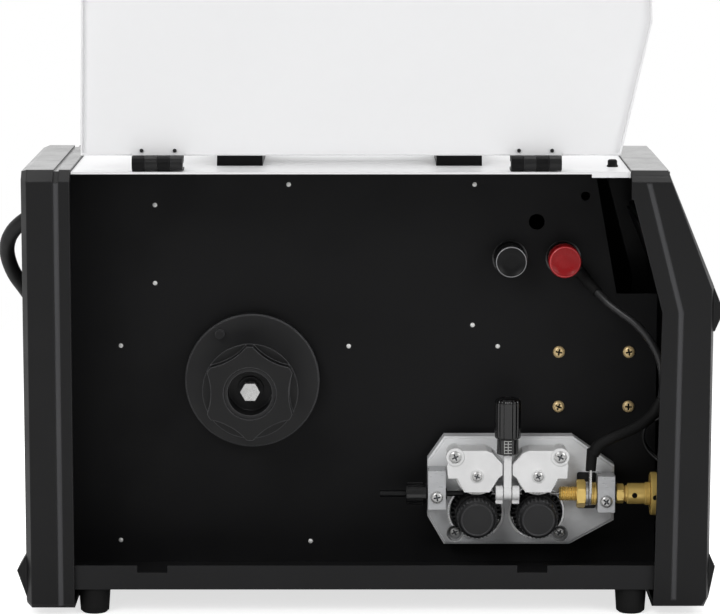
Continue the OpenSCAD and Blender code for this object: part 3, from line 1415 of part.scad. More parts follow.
mains_coil();
mains_plug();
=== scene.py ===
"""Looks for the MIG welding machine with its side door open."""
import math

import bpy
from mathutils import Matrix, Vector


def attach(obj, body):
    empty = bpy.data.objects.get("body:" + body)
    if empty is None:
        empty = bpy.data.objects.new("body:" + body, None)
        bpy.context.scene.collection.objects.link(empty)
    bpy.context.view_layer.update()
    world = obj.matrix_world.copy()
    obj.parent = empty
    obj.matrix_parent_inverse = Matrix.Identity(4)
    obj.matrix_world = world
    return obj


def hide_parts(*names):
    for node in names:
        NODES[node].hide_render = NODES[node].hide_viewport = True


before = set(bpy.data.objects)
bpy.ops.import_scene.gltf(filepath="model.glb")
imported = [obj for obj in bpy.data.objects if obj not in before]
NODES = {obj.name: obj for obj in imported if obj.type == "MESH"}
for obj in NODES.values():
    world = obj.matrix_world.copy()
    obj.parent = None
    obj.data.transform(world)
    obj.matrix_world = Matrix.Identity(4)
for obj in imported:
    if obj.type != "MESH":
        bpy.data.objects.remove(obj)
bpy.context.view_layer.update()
scene = bpy.context.scene


# ---- places that several pieces share, in millimetres ----

FRONT = (0, -1, 0)          # towards the photo's camera
X_AXIS = (1, 0, 0)
DIVIDER_Y = -8              # near face of the divider panel
WIRE = (-38.0, 76.0)        # y and z of the line on which the welding wire runs
FEEDER_X = 98.2             # middle of the wire feeder
ROLL_XS = (76.6, 119.8)     # axes of its rear and front drive rolls
ROLL_Z = 61
TERMINALS = {"black_terminal": 100.7, "red_terminal": 138.6}
TERMINAL_Z = 241.0
FOLD = Vector((228, 0, 214))                # where the front panel starts to slant
SLOPE_UP = Vector((-0.3754, 0, 0.9269))     # up along the slanted panel
SLOPE_OUT = Vector((0.9269, 0, 0.3754))     # out of it


# ---- camera ----

cam_data = bpy.data.cameras.new("camera")
cam_data.lens = 167
cam_data.sensor_width = 36
cam_data.clip_start = 0.1
cam_data.clip_end = 100
cam = bpy.data.objects.new("camera", cam_data)
cam.location = (-0.0059, -2.36486, 0.54964)
cam.rotation_euler = (math.radians(81.69), 0, 0)
scene.collection.objects.link(cam)
scene.camera = cam


# ---- materials ----

def linear(code):
    """sRGB hex to linear RGBA."""
    parts = [int(code[i:i + 2], 16) / 255 for i in (1, 3, 5)]
    return tuple(c / 12.92 if c <= 0.04045 else ((c + 0.055) / 1.055) ** 2.4
                 for c in parts) + (1.0,)


def shader_node(tree, kind, inputs=None, **settings):
    """A new node with its settings. An input is a value or the socket that feeds it."""
    node = tree.nodes.new("ShaderNode" + kind)
    for key, value in settings.items():
        setattr(node, key, value)
    for key, value in (inputs or {}).items():
        if isinstance(value, bpy.types.NodeSocket):
            tree.links.new(value, node.inputs[key])
        else:
            node.inputs[key].default_value = value
    return node


def map_range(tree, source, low, high, out_low=0, out_high=1, curve="LINEAR"):
    """The source's value, with low to high turned into out_low to out_high."""
    return shader_node(tree, "MapRange", {
        "Value": source, "From Min": low, "From Max": high, "To Min": out_low,
        "To Max": out_high}, interpolation_type=curve).outputs["Result"]


def finish(name, colour, rough, metal=0.0, vary=0.12, grain=900, bump=0.15, depth=0.0002,
           patch=14, scuff=0.08, edge=0.0, coat=0.0, specular=0.5, stretch=(1, 1, 1),
           low_shade=None, edge_highlight=None):
    """A surface with a colour that drifts in soft patches, uneven gloss and fine grain.
    Its colour drifts by the share vary, its roughness by scuff. grain and patch are noise scales
    per metre, depth is the grain's height in metres and bump its strength, and stretch scales
    the noise along each axis. edge is the radius of its rounded edges in metres, and
    edge_highlight the paler colour of a highlight painted along them. low_shade = (low, high,
    colour) paints shade, turning towards that colour from height high down to low, in metres."""
    mat = bpy.data.materials.new(name)
    mat.use_nodes = True
    tree = mat.node_tree
    shader = tree.nodes["Principled BSDF"]
    place = shader_node(tree, "TexCoord").outputs["Object"]
    scaled = shader_node(tree, "Mapping", {"Vector": place, "Scale": stretch}).outputs["Vector"]

    def noise(size, detail=4.0, roughness=0.55):
        return shader_node(tree, "TexNoise", {"Vector": scaled, "Scale": size, "Detail": detail,
                                              "Roughness": roughness}).outputs["Fac"]

    def mixed(share, a, b):
        return shader_node(tree, "Mix", {"Factor": share, "A": a, "B": b},
                           data_type="RGBA").outputs["Result"]

    base = linear(colour)
    dark = tuple(c * (1 - vary) for c in base[:3]) + (1.0,)
    light = tuple(min(1.0, c * (1 + vary)) for c in base[:3]) + (1.0,)
    tone = mixed(map_range(tree, noise(patch), 0.3, 0.7), dark, light)
    speck = noise(grain, 3.0, 0.6)
    tone = mixed(map_range(tree, speck, 0.35, 0.75, 0, 0.35), tone, light)
    relief = {"Strength": bump, "Distance": depth, "Height": speck}
    # painted shade: the colour darkens from height high down to low
    if low_shade:
        height = shader_node(tree, "SeparateXYZ", {"Vector": place}).outputs["Z"]
        tone = mixed(map_range(tree, height, low_shade[1], low_shade[0]), tone, linear(low_shade[2]))
    if edge:
        relief["Normal"] = shader_node(tree, "Bevel", {"Radius": edge},
                                       samples=4).outputs["Normal"]
    # paint a paler highlight along the rounded edges, where they turn away from the flat face
    if edge_highlight:
        # 1 where the surface is flat, and less the further its rounded edge turns away
        flat = shader_node(tree, "NewGeometry").outputs["Normal"]
        turn = shader_node(tree, "VectorMath", {0: relief["Normal"], 1: flat},
                           operation="DOT_PRODUCT").outputs["Value"]
        tone = mixed(map_range(tree, turn, 0.985, 0.85), tone, linear(edge_highlight))
    smears = noise(patch * 4.3)     # the gloss changes in smaller patches than the colour
    gloss = map_range(tree, smears, 0.3, 0.7, max(0.03, rough - scuff), min(1, rough + scuff))
    normal = shader_node(tree, "Bump", relief).outputs["Normal"]
    for key, value in {"Metallic": metal, "Specular IOR Level": specular, "Coat Weight": coat,
                       "Coat Roughness": 0.12}.items():
        shader.inputs[key].default_value = value
    for key, source in {"Base Color": tone, "Roughness": gloss, "Normal": normal}.items():
        tree.links.new(source, shader.inputs[key])
    return mat


# Some looks paint a paler highlight along their rounded edges, and the cast metal also gets painted
# shade that darkens it towards the bottom.
LOOKS = {
    "white_coat": dict(colour="#f2f2f3", rough=0.34, vary=0.012, grain=1400, bump=0.12,
                       depth=0.0001, patch=6, scuff=0.05, edge=0.0006, specular=0.2),
    "black_coat": dict(colour="#131314", rough=0.50, vary=0.16, grain=1800, bump=0.25,
                       depth=0.00012, patch=7, edge=0.0005, specular=0.14),
    "rail_coat": dict(colour="#1f1f20", rough=0.46, vary=0.12, grain=1800, bump=0.25, depth=0.00012,
                      patch=9, edge=0.0006, specular=0.22),
    "moulding": dict(colour="#101011", rough=0.36, vary=0.08, grain=2300, bump=0.2, depth=0.0001,
                     patch=8, edge=0.0012, specular=0.28, edge_highlight="#2b2b2c"),
    # the bezels' tops, in a lighter colour as a painted highlight
    "moulding_top_highlight": dict(colour="#333334", rough=0.18, vary=0.08, grain=2300, bump=0.1,
                         depth=0.0001, patch=8, edge=0.0012, specular=0.5, coat=0.4),
    # the bezels' grooves, in a lighter colour as a painted highlight
    "groove": dict(colour="#454547", rough=0.40, vary=0.10, grain=2300, bump=0.25, depth=0.0001,
                   patch=9, edge=0.0008, specular=0.35),
    "panel_grey": dict(colour="#26272a", rough=0.42, vary=0.08, grain=2000, bump=0.2, depth=0.0001,
                       edge=0.0006, specular=0.3),
    "rubber": dict(colour="#121212", rough=0.68, vary=0.15, grain=1500, bump=0.4, depth=0.0002,
                   edge=0.0008, specular=0.22),
    "plastic": dict(colour="#131314", rough=0.36, vary=0.10, grain=1600, bump=0.18, depth=0.00012,
                    edge=0.0005, specular=0.35, edge_highlight="#3c3c3d"),
    "knob_black": dict(colour="#080809", rough=0.34, vary=0.10, grain=1600, bump=0.08, depth=0.0001,
                       edge=0.0005, specular=0.22),
    # lighter rings painted round the caps' fronts as a highlight
    "knob_rim_highlight": dict(colour="#88888a", rough=0.30, vary=0.06, grain=1600, bump=0.05, depth=0.0001),
    "red_rim_highlight": dict(colour="#c4484b", rough=0.30, vary=0.06, grain=1600, bump=0.05, depth=0.0001),
    "hinge_black": dict(colour="#0b0b0c", rough=0.40, vary=0.15, grain=1500, bump=0.15,
                        depth=0.0001, patch=50, edge=0.0004, specular=0.16, edge_highlight="#39393b"),
    "cap_plastic": dict(colour="#242425", rough=0.42, vary=0.10, grain=1500, bump=0.25,
                        depth=0.00012, edge=0.0008, specular=0.35, edge_highlight="#5c5c5e"),
    "hub_plastic": dict(colour="#1c1c1d", rough=0.45, vary=0.10, grain=1300, bump=0.25,
                        depth=0.00015, edge=0.0009, specular=0.34, edge_highlight="#5a5a5c"),
    "nut_plastic": dict(colour="#0b0b0c", rough=0.40, vary=0.10, grain=1300, bump=0.25,
                        depth=0.00015, edge=0.0011, specular=0.34, edge_highlight="#626264"),
    "gloss_plastic": dict(colour="#0d0d0e", rough=0.16, vary=0.1, grain=900, bump=0.04, edge=0.0005,
                          coat=0.35),
    "steel": dict(colour="#c9c9c8", rough=0.28, metal=0.65, vary=0.10, grain=1100, bump=0.15,
                  depth=0.0001, patch=60, scuff=0.10, edge=0.0003),
    "dark_steel": dict(colour="#1c1c1d", rough=0.36, metal=0.55, vary=0.2, grain=1300, bump=0.2,
                       depth=0.0001, patch=70, edge=0.0004, specular=0.4),
    "arm_steel": dict(colour="#f0f0f0", rough=0.40, metal=0.05, vary=0.07, grain=1500, bump=0.35,
                      depth=0.00015, patch=45, scuff=0.08, edge=0.0009),
    "zinc": dict(colour="#e2c793", rough=0.30, metal=0.45, vary=0.20, grain=1000, bump=0.1,
                 patch=140, edge=0.0003),
    # the feeder plate: pale cast metal, darkened towards the bottom as painted shade, with a
    # highlight painted along its edges
    "cast": dict(colour="#ecedee", rough=0.36, metal=0.05, vary=0.10, grain=900, bump=0.5,
                 depth=0.0002, patch=32, scuff=0.10, edge=0.0012, stretch=(0.25, 1, 1),
                 low_shade=(0.036, 0.082, "#b4b5b7"), edge_highlight="#f4f4f4"),
    "rim_alloy": dict(colour="#d8d9da", rough=0.25, metal=0.5, vary=0.06, grain=1200, bump=0.15,
                      depth=0.0001, patch=60, edge=0.0005),
    "alloy": dict(colour="#c2c3c5", rough=0.32, metal=0.3, vary=0.08, grain=1200, bump=0.2,
                  patch=30, edge=0.0006, stretch=(1, 1, 6)),
    "brass": dict(colour="#efcd78", rough=0.22, metal=0.4, vary=0.08, grain=1200, bump=0.04,
                  depth=0.00004, patch=120, scuff=0.05),
    "red": dict(colour="#97060e", rough=0.30, vary=0.10, grain=1300, bump=0.12, depth=0.0001,
                patch=60, edge=0.0009, specular=0.3, edge_highlight="#d2575b"),
    "rivet": dict(colour="#ececea", rough=0.42, metal=0.2, vary=0.08, grain=1500, bump=0.15,
                  patch=120),
    "board": dict(colour="#0b1d13", rough=0.42, vary=0.2, grain=700, bump=0.25, patch=60,
                  edge=0.0003, specular=0.25),
    "iron": dict(colour="#2e2d2c", rough=0.50, metal=0.5, vary=0.2, grain=900, bump=0.3, patch=40,
                 edge=0.0005, stretch=(1, 1, 12)),
    "copper": dict(colour="#8f4a25", rough=0.35, metal=0.6, vary=0.15, grain=800, bump=0.2,
                   edge=0.0004, stretch=(1, 10, 1)),
    "winding": dict(colour="#3b2519", rough=0.45, vary=0.2, grain=700, bump=0.5, depth=0.0003,
                    patch=60, edge=0.0006),
    "can_blue": dict(colour="#1b3552", rough=0.30, vary=0.1, grain=900, bump=0.05, edge=0.0006),
    "motor": dict(colour="#54565a", rough=0.42, metal=0.5, vary=0.12, grain=1000, bump=0.2,
                  patch=30, edge=0.0005),
    "sheath": dict(colour="#171717", rough=0.48, vary=0.12, grain=1200, bump=0.25, depth=0.00015,
                   patch=30, specular=0.3),
    # the jumper's sheath, painted lighter than the mains lead's to stand in for the light on it
    "jumper_sheath_lit": dict(colour="#2a2a2b", rough=0.36, vary=0.12, grain=1200, bump=0.2,
                          depth=0.0001, patch=30, specular=0.5),
    "insulator": dict(colour="#0f0f10", rough=0.40, vary=0.12, grain=1200, bump=0.25, edge=0.0005,
                      specular=0.25),
    "marks": dict(colour="#c2c2c0", rough=0.50, vary=0.05, grain=1500, bump=0.05, patch=90),
    "glass": dict(colour="#07090c", rough=0.08, vary=0.1, grain=600, bump=0.02, coat=0.6,
                  edge=0.0004),
    "segment": dict(colour="#34373b", rough=0.35, vary=0.08, grain=900, bump=0.05, patch=60),
    # near black, painted where shade falls: inner sides, screw crosses and holes
    "recess_shade": dict(colour="#0a0a0a", rough=0.7, vary=0.1, grain=900, bump=0.1, specular=0.1),
}
M = {name: finish(name, **look) for name, look in LOOKS.items()}


def paint(node, main, *parts):
    """Gives a CAD node its finish, and other finishes where their tests hold. A test gets a
    face's centre, in millimetres, and its normal."""
    ob = NODES[node]
    ob.data.materials.clear()
    ob.data.materials.append(M[main])
    for material, _ in parts:
        ob.data.materials.append(M[material])
    for face in ob.data.polygons:
        face.material_index = 0
        for i, (_, test) in enumerate(parts, 1):
            if test(face.center * 1000, face.normal):
                face.material_index = i


def near_axis(c, x, z, r):
    """Whether a point lies within r of the line along y through (x, z)."""
    return (c.x - x) ** 2 + (c.z - z) ** 2 < r * r


for finish_name, node_names in {
    "rail_coat": ("base_tray",),
    "white_coat": ("door_panel",),
    "black_coat": ("divider_panel",),
    "rubber": ("rubber_feet",),
    "gloss_plastic": ("switch_body", "inlet_nut"),
    "hinge_black": ("hinge_fixed_leaves", "hinge_pins", "carry_handle"),
    "plastic": ("hinge_door_leaves", "door_latch_rear", "door_latch_front", "fan_rotor"),
    "dark_steel": ("case_screws", "drive_roll_rear", "drive_roll_front"),
    "steel": ("motor_pinion", "pressure_roll_rear", "pressure_roll_front"),
    "hub_plastic": ("spool_hub",),
    "nut_plastic": ("spool_nut",),
    "insulator": ("feeder_insulator",),
    "motor": ("feed_motor",),
    "cap_plastic": ("roll_cap_rear", "roll_cap_front"),
    "arm_steel": ("pressure_arm_rear", "pressure_arm_front", "tension_lever"),
    "alloy": ("heat_sinks",),
    "brass": ("gas_valve",),
    "red": ("power_rocker",),
}.items():
    for node_name in node_names:
        paint(node_name, finish_name)

# grooves in the bezels' near faces, painted lighter as a highlight, and their tops, which are
# smoother and painted lighter as a highlight
for node_name in ("rear_bezel", "front_bezel"):
    paint(node_name, "moulding",
          ("groove", lambda c, n: -94 < c.y < -93.6 and n.y < -0.99),
          ("moulding_top_highlight", lambda c, n: n.z > 0.9 and c.z > 250))

# inner sides that the light barely reaches, painted near black as shade
paint("top_cover", "white_coat", ("recess_shade", lambda c, n: n.y < -0.5 and c.y > 85))
paint("rear_panel", "black_coat", ("recess_shade", lambda c, n: n.x > 0.5))
paint("front_panel", "panel_grey", ("recess_shade", lambda c, n: n.x < -0.5 or c.y < -90))

# bare steel at the end of the spindle bolt and at the guides past the first roll; the rest of the
# spindle is painted dark as the shade in the hole around it
paint("spool_spindle", "dark_steel", ("steel", lambda c, n: c.y < -60))
paint("wire_guides", "dark_steel", ("steel", lambda c, n: c.x > 84))

# rims round the drive rolls, the inlet and outlet blocks, and the web between the arms
paint("feeder_plate", "cast",
      ("rim_alloy", lambda c, n: c.y < -28.6 and any(near_axis(c, x, ROLL_Z, 21) for x in ROLL_XS)),
      ("alloy", lambda c, n: c.y < -29 and (c.x < 55.5 or c.x > 161.5)),
      ("arm_steel", lambda c, n: c.y < -29 and abs(c.x - FEEDER_X) < 9))

# the lower lug's ring and its sleeve
paint("jumper_lugs", "dark_steel",
      ("steel", lambda c, n: c.z < 93.9 or (c.z < 96 and n.z > 0.9)),
      ("rubber", lambda c, n: 93.9 <= c.z < 120))

# brass insides of terminals and sockets, and the fan's wire guard
paint("terminal_studs", "gloss_plastic",
      ("brass", lambda c, n: any(near_axis(c, x, TERMINAL_Z, 3.04) for x in TERMINALS.values())))
paint("torch_socket", "plastic",
      ("brass", lambda c, n: (c.y - WIRE[0]) ** 2 + (c.z - WIRE[1]) ** 2 < 14 ** 2))
paint("output_sockets", "gloss_plastic", ("brass", lambda c, n: c.x < 205.9))
paint("fan_frame", "plastic", ("alloy", lambda c, n: c.x < -213.4))

# the display's window and the sockets of the front board
paint("circuit_boards", "board",
      ("glass", lambda c, n: n.x > 0.85 and c.dot(SLOPE_OUT) > 291),
      ("plastic", lambda c, n: c.x > 190))

# capacitors, the choke's and transformer's windings, and a band of copper
paint("magnetics", "iron",
      ("can_blue", lambda c, n: c.x > 28),
      ("winding", lambda c, n: c.x > -64.5),
      ("copper", lambda c, n: 26 < c.y < 54 and 33 < c.z < 69 and c.x < -64.5))


# ---- mesh helpers ----
# A shape is a pair of points, in millimetres, and faces.

def piece(name, shape, material, body, smooth=True):
    """A piece of the scene that rides on a body."""
    points, faces = shape
    mesh = bpy.data.meshes.new(name)
    mesh.from_pydata([Vector(p) / 1000 for p in points], [], faces)
    mesh.materials.append(M[material])
    mesh.validate()
    for face in mesh.polygons:
        face.use_smooth = smooth
    mesh.set_sharp_from_angle(angle=math.radians(38))
    ob = bpy.data.objects.new(name, mesh)
    scene.collection.objects.link(ob)
    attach(ob, body)
    return ob


def skin(rows, sides):
    """Faces over rows of as many points each as it has sides, with both ends closed."""
    faces = []
    for row in range(rows - 1):
        for k in range(sides):
            n = (k + 1) % sides
            faces.append((row * sides + k, row * sides + n,
                          (row + 1) * sides + n, (row + 1) * sides + k))
    faces.append(tuple(reversed(range(sides))))
    faces.append(tuple(range((rows - 1) * sides, rows * sides)))
    return faces


def catmull(points, steps):
    """A smooth line through the points, with steps pieces between each two."""
    p = [Vector(q) for q in points]
    ends = [p[0] * 2 - p[1]] + p + [p[-1] * 2 - p[-2]]
    line = []
    for i in range(1, len(ends) - 2):
        a, b, c, d = ends[i - 1:i + 3]
        for k in range(steps):
            t = k / steps
            line.append(0.5 * (2 * b + (c - a) * t + (2 * a - 5 * b + 4 * c - d) * t ** 2
                               + (3 * b - a - 3 * c + d) * t ** 3))
    return line + [p[-1]]


def tube(name, line, radius, material, body, sides=20):
    """A round piece along the line, carried without twist. The radius is one or a list."""
    radii = radius if isinstance(radius, list) else [radius] * len(line)
    points, u = [], None
    for i, here in enumerate(line):
        t = (line[min(i + 1, len(line) - 1)] - line[max(i - 1, 0)]).normalized()
        if u is None:
            u = t.cross(Vector((0, 1, 0)) if abs(t.y) < 0.9 else Vector((1, 0, 0))).normalized()
        else:
            u = (u - t * u.dot(t)).normalized()
        v = t.cross(u)
        for k in range(sides):
            a = 2 * math.pi * k / sides
            points.append(here + radii[i] * (math.cos(a) * u + math.sin(a) * v))
    ob = piece(name, (points, skin(len(line), sides)), material, body)
    for face in ob.data.polygons[-2:]:
        face.use_smooth = False
    return ob


def turned(at, axis, profile, sides=40, bend=None):
    """A shape turned about an axis: profile is (height along it, radius), and bend(row, angle,
    radius) gives the radius where a row isn't round."""
    at, w = Vector(at), Vector(axis).normalized()
    u = Vector((0, 0, 1)) if abs(w.z) < 0.9 else Vector((1, 0, 0))
    v = w.cross(u)
    points = []
    for row, (height, radius) in enumerate(profile):
        for k in range(sides):
            a = 2 * math.pi * k / sides
            r = bend(row, a, radius) if bend else radius
            points.append(at + w * height + r * (math.cos(a) * u + math.sin(a) * v))
    return points, skin(len(profile), sides)


def joined(*parts):
    """Several shapes as one."""
    points, faces = [], []
    for more, polygons in parts:
        faces += [tuple(i + len(points) for i in face) for face in polygons]
        points += more
    return points, faces


SCREW_SIDES = 64
CROSS_ROW = 8       # the first row of a screw's profile that follows the cross


def phillips(at, axis, r, h, shank, length, turn=0.3):
    """A domed screw head of radius r and height h with a cross recess, on its shank."""
    def cross(row, angle, radius):
        if row < CROSS_ROW:
            return radius
        off = (angle - turn + math.pi / 4) % (math.pi / 2) - math.pi / 4
        return min(radius / math.cos(off), 0.13 * r / max(abs(math.sin(off)), 1e-6))
    profile = [(-length, shank), (0, shank), (0.02, r * 0.97), (h * 0.25, r), (h * 0.55, r * 0.97),
               (h * 0.8, r * 0.84), (h * 0.95, r * 0.68), (h, r * 0.62), (h, r * 0.56),
               (h - 0.5, r * 0.50), (h - min(1.5, h * 0.7), r * 0.26)]
    return turned(at, axis, profile, SCREW_SIDES, cross)


def screw_heads(name, body, material, cross_shade, *screws):
    """Screws as one piece, with the inside of their crosses painted darker as shade."""
    ob = piece(name, joined(*screws), material, body)
    ob.data.materials.append(M[cross_shade])
    faces_each = len(screws[0][1])
    shank_end = faces_each - 2
    for i, face in enumerate(ob.data.polygons):
        place = i % faces_each
        if place >= CROSS_ROW * SCREW_SIDES and place != shank_end:
            face.material_index = 1
    return ob


# ---- the mains lead: out of the rear, down to the ground, and the rest coiled ----

LEAD_R = 5.5
ROUTE = [
    (-213.5, 6, 275), (-218, 6.2, 274.8), (-224, 6.9, 274), (-229.8, 8.1, 272.7),
    (-235.4, 9.8, 270.9), (-241.4, 12.3, 268), (-248.7, 16.6, 263.4), (-255.7, 22.9, 256.3),
    (-260.2, 30.2, 248), (-261.8, 38, 238.8), (-260.4, 45.4, 228.7), (-256.9, 50.8, 219.4),
    (-251.3, 55.3, 210.4), (-246.4, 60.3, 201.2), (-243.5, 66, 190.2), (-243.1, 71, 176.1),
    (-244, 76, 160), (-245, 81, 138), (-245.5, 86, 112), (-245.5, 91, 88), (-244, 97.9, 66.6),
    (-243, 102.8, 45.8), (-237, 108.5, 28.8), (-228.6, 116.1, 17.2), (-217, 124.5, 10),
    (-202.1, 132, 6.9), (-184, 136.5, 6), (-166, 137.5, 6), (-148, 133.5, 6), (-130, 127, 6),
]
COIL_AT = Vector((-90, 190.7, 0))
COIL_START = math.atan2(122.5 - COIL_AT.y, -112 - COIL_AT.x)    # where the lead meets the coil
# the coil's turns as (angle in degrees, radius, height): out to in on the ground, then back out
# on top of it
COIL_TURNS = [(0, 72.5, 6), (60, 70.4, 6), (360, 60, 6), (720, 49, 6), (800, 49, 17.1),
              (1160, 60, 17.1), (1520, 71, 17.1), (1637, 71, 17.1)]
COIL_END = 1636.9
COIL_STEP = 15


def coil_point(angle):
    """A point of the coil's line, at an angle in degrees from its start."""
    for (a0, r0, z0), (a1, r1, z1) in zip(COIL_TURNS, COIL_TURNS[1:]):
        if angle <= a1:
            t = (angle - a0) / (a1 - a0)
            s = t * t * (3 - 2 * t)
            a = COIL_START + math.radians(angle)
            r = r0 + (r1 - r0) * t
            return COIL_AT + Vector((r * math.cos(a), r * math.sin(a), z0 + (z1 - z0) * s))


coil = [coil_point(a) for a in range(0, int(COIL_END) - COIL_STEP, COIL_STEP)]
top = coil_point(COIL_END)
plug_at = Vector((top.x - 27, top.y, 11))
tail = [top, top + Vector((-9, 0, -1)), top + Vector((-18, 0, -3.4)),
        Vector((plug_at.x - 4, plug_at.y, 11.4)), Vector((plug_at.x - 18, plug_at.y, 11))]
lead_line = catmull(ROUTE + coil + tail, 3)
lead = tube("mains_lead_full", lead_line, LEAD_R, "sheath", "chassis", 20)

# ---- strain relief: a ribbed sleeve that tapers onto the lead ----

SLEEVE_LENGTH, SLEEVE_WALL = 31, 2.6
RIB_PITCH, RIB_HEIGHT = 5.2, 0.5

sleeve_line = catmull(ROUTE[:6], 8)
sleeve_radii, walked = [], 0.0
for i, point in enumerate(sleeve_line):
    walked += (point - sleeve_line[max(i - 1, 0)]).length
    on_rib = walked % RIB_PITCH < RIB_PITCH / 2 and 4 < walked < 24
    taper = SLEEVE_WALL * max(0.0, 1 - walked / SLEEVE_LENGTH)
    sleeve_radii.append(LEAD_R + 0.35 + taper + (RIB_HEIGHT if on_rib else 0.0))
sleeve = tube("lead_sleeve", sleeve_line, sleeve_radii, "rubber", "chassis", 24)
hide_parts("strain_relief")
flange_line = [Vector((x, 6, 275)) for x in (-210.5, -211, -213.0, -213.5, -216.4, -216.8)]
flange = tube("lead_flange", flange_line, [8, 8, 8, 11.5, 11.5, 10.8], "rubber", "chassis", 32)

# ---- plug: a moulded two-pin plug beside the coil ----


def rounded(half_width, half_height, corner, steps=5):
    """Outline of a rounded rectangle about its middle, as (across, up)."""
    out = []
    for q, (across, up) in enumerate(((1, 1), (-1, 1), (-1, -1), (1, -1))):
        for k in range(steps + 1):
            a = math.pi / 2 * (q + k / steps)
            out.append((across * (half_width - corner) + corner * math.cos(a),
                        up * (half_height - corner) + corner * math.sin(a)))
    return out


def loft(name, stations, material, body):
    """A skin over outlines of (y, z) points, one at each x, with its ends closed."""
    points = [(x, y, z) for x, outline in stations for y, z in outline]
    return piece(name, (points, skin(len(stations), len(stations[0][1]))), material, body)


def moved(outline, y, z, grow):
    """The outline grown about its middle and moved to (y, z)."""
    return [(y + grow * a, z + grow * b) for a, b in outline]


plug_outline = rounded(16, 10.4, 6)
plug_start = plug_at.x - 24
plug_rows = [(0, 0.55), (-1, 0.72), (-3, 0.86), (-20, 1.0), (-30, 1.0), (-33, 0.96), (-34.5, 0.88)]
plug = loft("plug_body", [(plug_start + x, moved(plug_outline, plug_at.y, plug_at.z, grow))
                          for x, grow in plug_rows], "plastic", "chassis")

BOOT_STEPS = 27     # one each millimetre
boot_line = [plug_at + Vector((2 - 1.0 * i, 0, 0)) for i in range(BOOT_STEPS)]
boot_radii = [6.6 + (1.2 if i % 5 < 3 and 3 < i < 24 else 0.0) + i * 0.03
              for i in range(BOOT_STEPS)]
boot = tube("plug_boot", boot_line, boot_radii, "plastic", "chassis", 24)

PIN_SPACING = 18
for side, where in ((-1, "near"), (1, "far")):
    pin_line = [Vector((plug_start - x, plug_at.y + side * PIN_SPACING / 2, plug_at.z))
                for x in (32, 34, 50, 52.6, 53.2)]
    tube(f"plug_pin_{where}", pin_line, [2.4, 2.4, 2.4, 1.9, 1.0], "brass",
                     "chassis", 20)

# ---- tie that holds the coil: a band with rounded corners round its section ----

TIE_HALF_R, TIE_HALF_Z = 17.1, 11.55        # half its inner size, across the coil and upright
TIE_R, TIE_Z = 60, 11.8                     # its middle, from the coil's axis and the ground
TIE_HALF_WIDTH = 6

tie_angle = math.radians(25)
tie_out = Vector((math.cos(tie_angle), math.sin(tie_angle), 0))
tie_side = Vector((-math.sin(tie_angle), math.cos(tie_angle), 0))
tie_section = rounded(TIE_HALF_R, TIE_HALF_Z, 2.5, 4)
tie_rings = [(-TIE_HALF_WIDTH, 0.35), (-TIE_HALF_WIDTH, -0.1), (TIE_HALF_WIDTH, -0.1),
             (TIE_HALF_WIDTH, 0.35)]
tie_points, tie_faces = [], []
for shift, inset in tie_rings:
    for a, b in tie_section:
        r = TIE_R + a * (1 - inset / TIE_HALF_R)
        z = TIE_Z + b * (1 - inset / TIE_HALF_Z)
        tie_points.append(COIL_AT + tie_out * r + tie_side * shift + Vector((0, 0, z)))
count = len(tie_section)
for ring in range(len(tie_rings)):
    here, after = ring * count, (ring + 1) % len(tie_rings) * count
    for k in range(count):
        n = (k + 1) % count
        tie_faces.append((here + k, here + n, after + n, after + k))
tie = piece("coil_tie", (tie_points, tie_faces), "rubber", "chassis")

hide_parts("mains_lead", "mains_coil")
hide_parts("mains_plug")

# ---- jumper lead from the red terminal to the feeder, and the two trigger wires ----

JUMPER = [
    (149.8, -13, 232), (152.8, -14, 228.2), (157, -17, 223.3), (162.2, -22, 218.2),
    (169.5, -29, 211.4), (178.1, -34, 205.1), (186.8, -38, 199), (194.5, -41, 191.5),
    (200.5, -43, 182.8), (204.5, -44, 174), (206.8, -44, 164), (207.4, -44, 154),
    (206.3, -44, 145.5), (201.5, -44, 135.5), (191.5, -45, 127),
    (179, -46, 121), (168.5, -47, 116.5), (162.5, -47, 112.5), (158.6, -47, 106),
]
jumper = tube("jumper_lead", catmull(JUMPER, 5), 2.8, "jumper_sheath_lit", "chassis", 18)
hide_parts("jumper_cable")
sock_line = catmull(JUMPER[:4], 6)
tube("jumper_sock_top", sock_line, [4.4 - 0.04 * i for i in range(len(sock_line))],
     "rubber", "chassis")
sock_line = catmull(JUMPER[-7:], 6)
tube("jumper_sock_end", sock_line, [min(4.3, 2.9 + 0.35 * i) for i in range(len(sock_line))],
     "rubber", "chassis")
TRIGGER_WIRE = [
    (225.9, -24, 128), (214, -22, 128), (205, -21, 126), (198, -21, 121), (196, -22, 113),
    (199, -24, 105), (205, -27, 99), (211, -30, 95),
]
for n, finish_name in enumerate(("plastic", "sheath")):
    wire_line = catmull([(x, y + 3 * n, z + 1.2 * n) for x, y, z in TRIGGER_WIRE], 5)
    tube(f"trigger_wire_{n + 1}", wire_line, 1.1, finish_name, "chassis", 12)


# ---- screws, rivets and knobs ----

screws = screw_heads("divider_screw_heads", "chassis", "zinc", "recess_shade",
                     *[phillips((FEEDER_X + x, DIVIDER_Y, 173 + z), FRONT, 4.3, 2.4, 2, 6,
                                0.3 + x * 0.07 + z)
                       for x in (38, 88) for z in (0, -39.5)])
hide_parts("divider_screws")

RIVETS = [(-151.5, 278.6), (-56.5, 293.2), (75.4, 293.2), (-151.9, 222.6), (-176.7, 177.5),
          (-14, 177.1), (74.4, 192.4), (92.5, 177.1), (-178.1, 35.8), (-41.5, 35)]
RIVET_HEAD = [(-2.4, 1.3), (0, 1.3), (0.01, 1.65), (0.45, 1.6), (0.85, 1.15), (1.05, 0.5),
              (1.1, 0.2)]
rivets = piece("divider_rivet_heads",
               joined(*[turned((x, DIVIDER_Y, z), FRONT, RIVET_HEAD, 24) for x, z in RIVETS]),
               "rivet", "chassis")
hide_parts("divider_rivets")

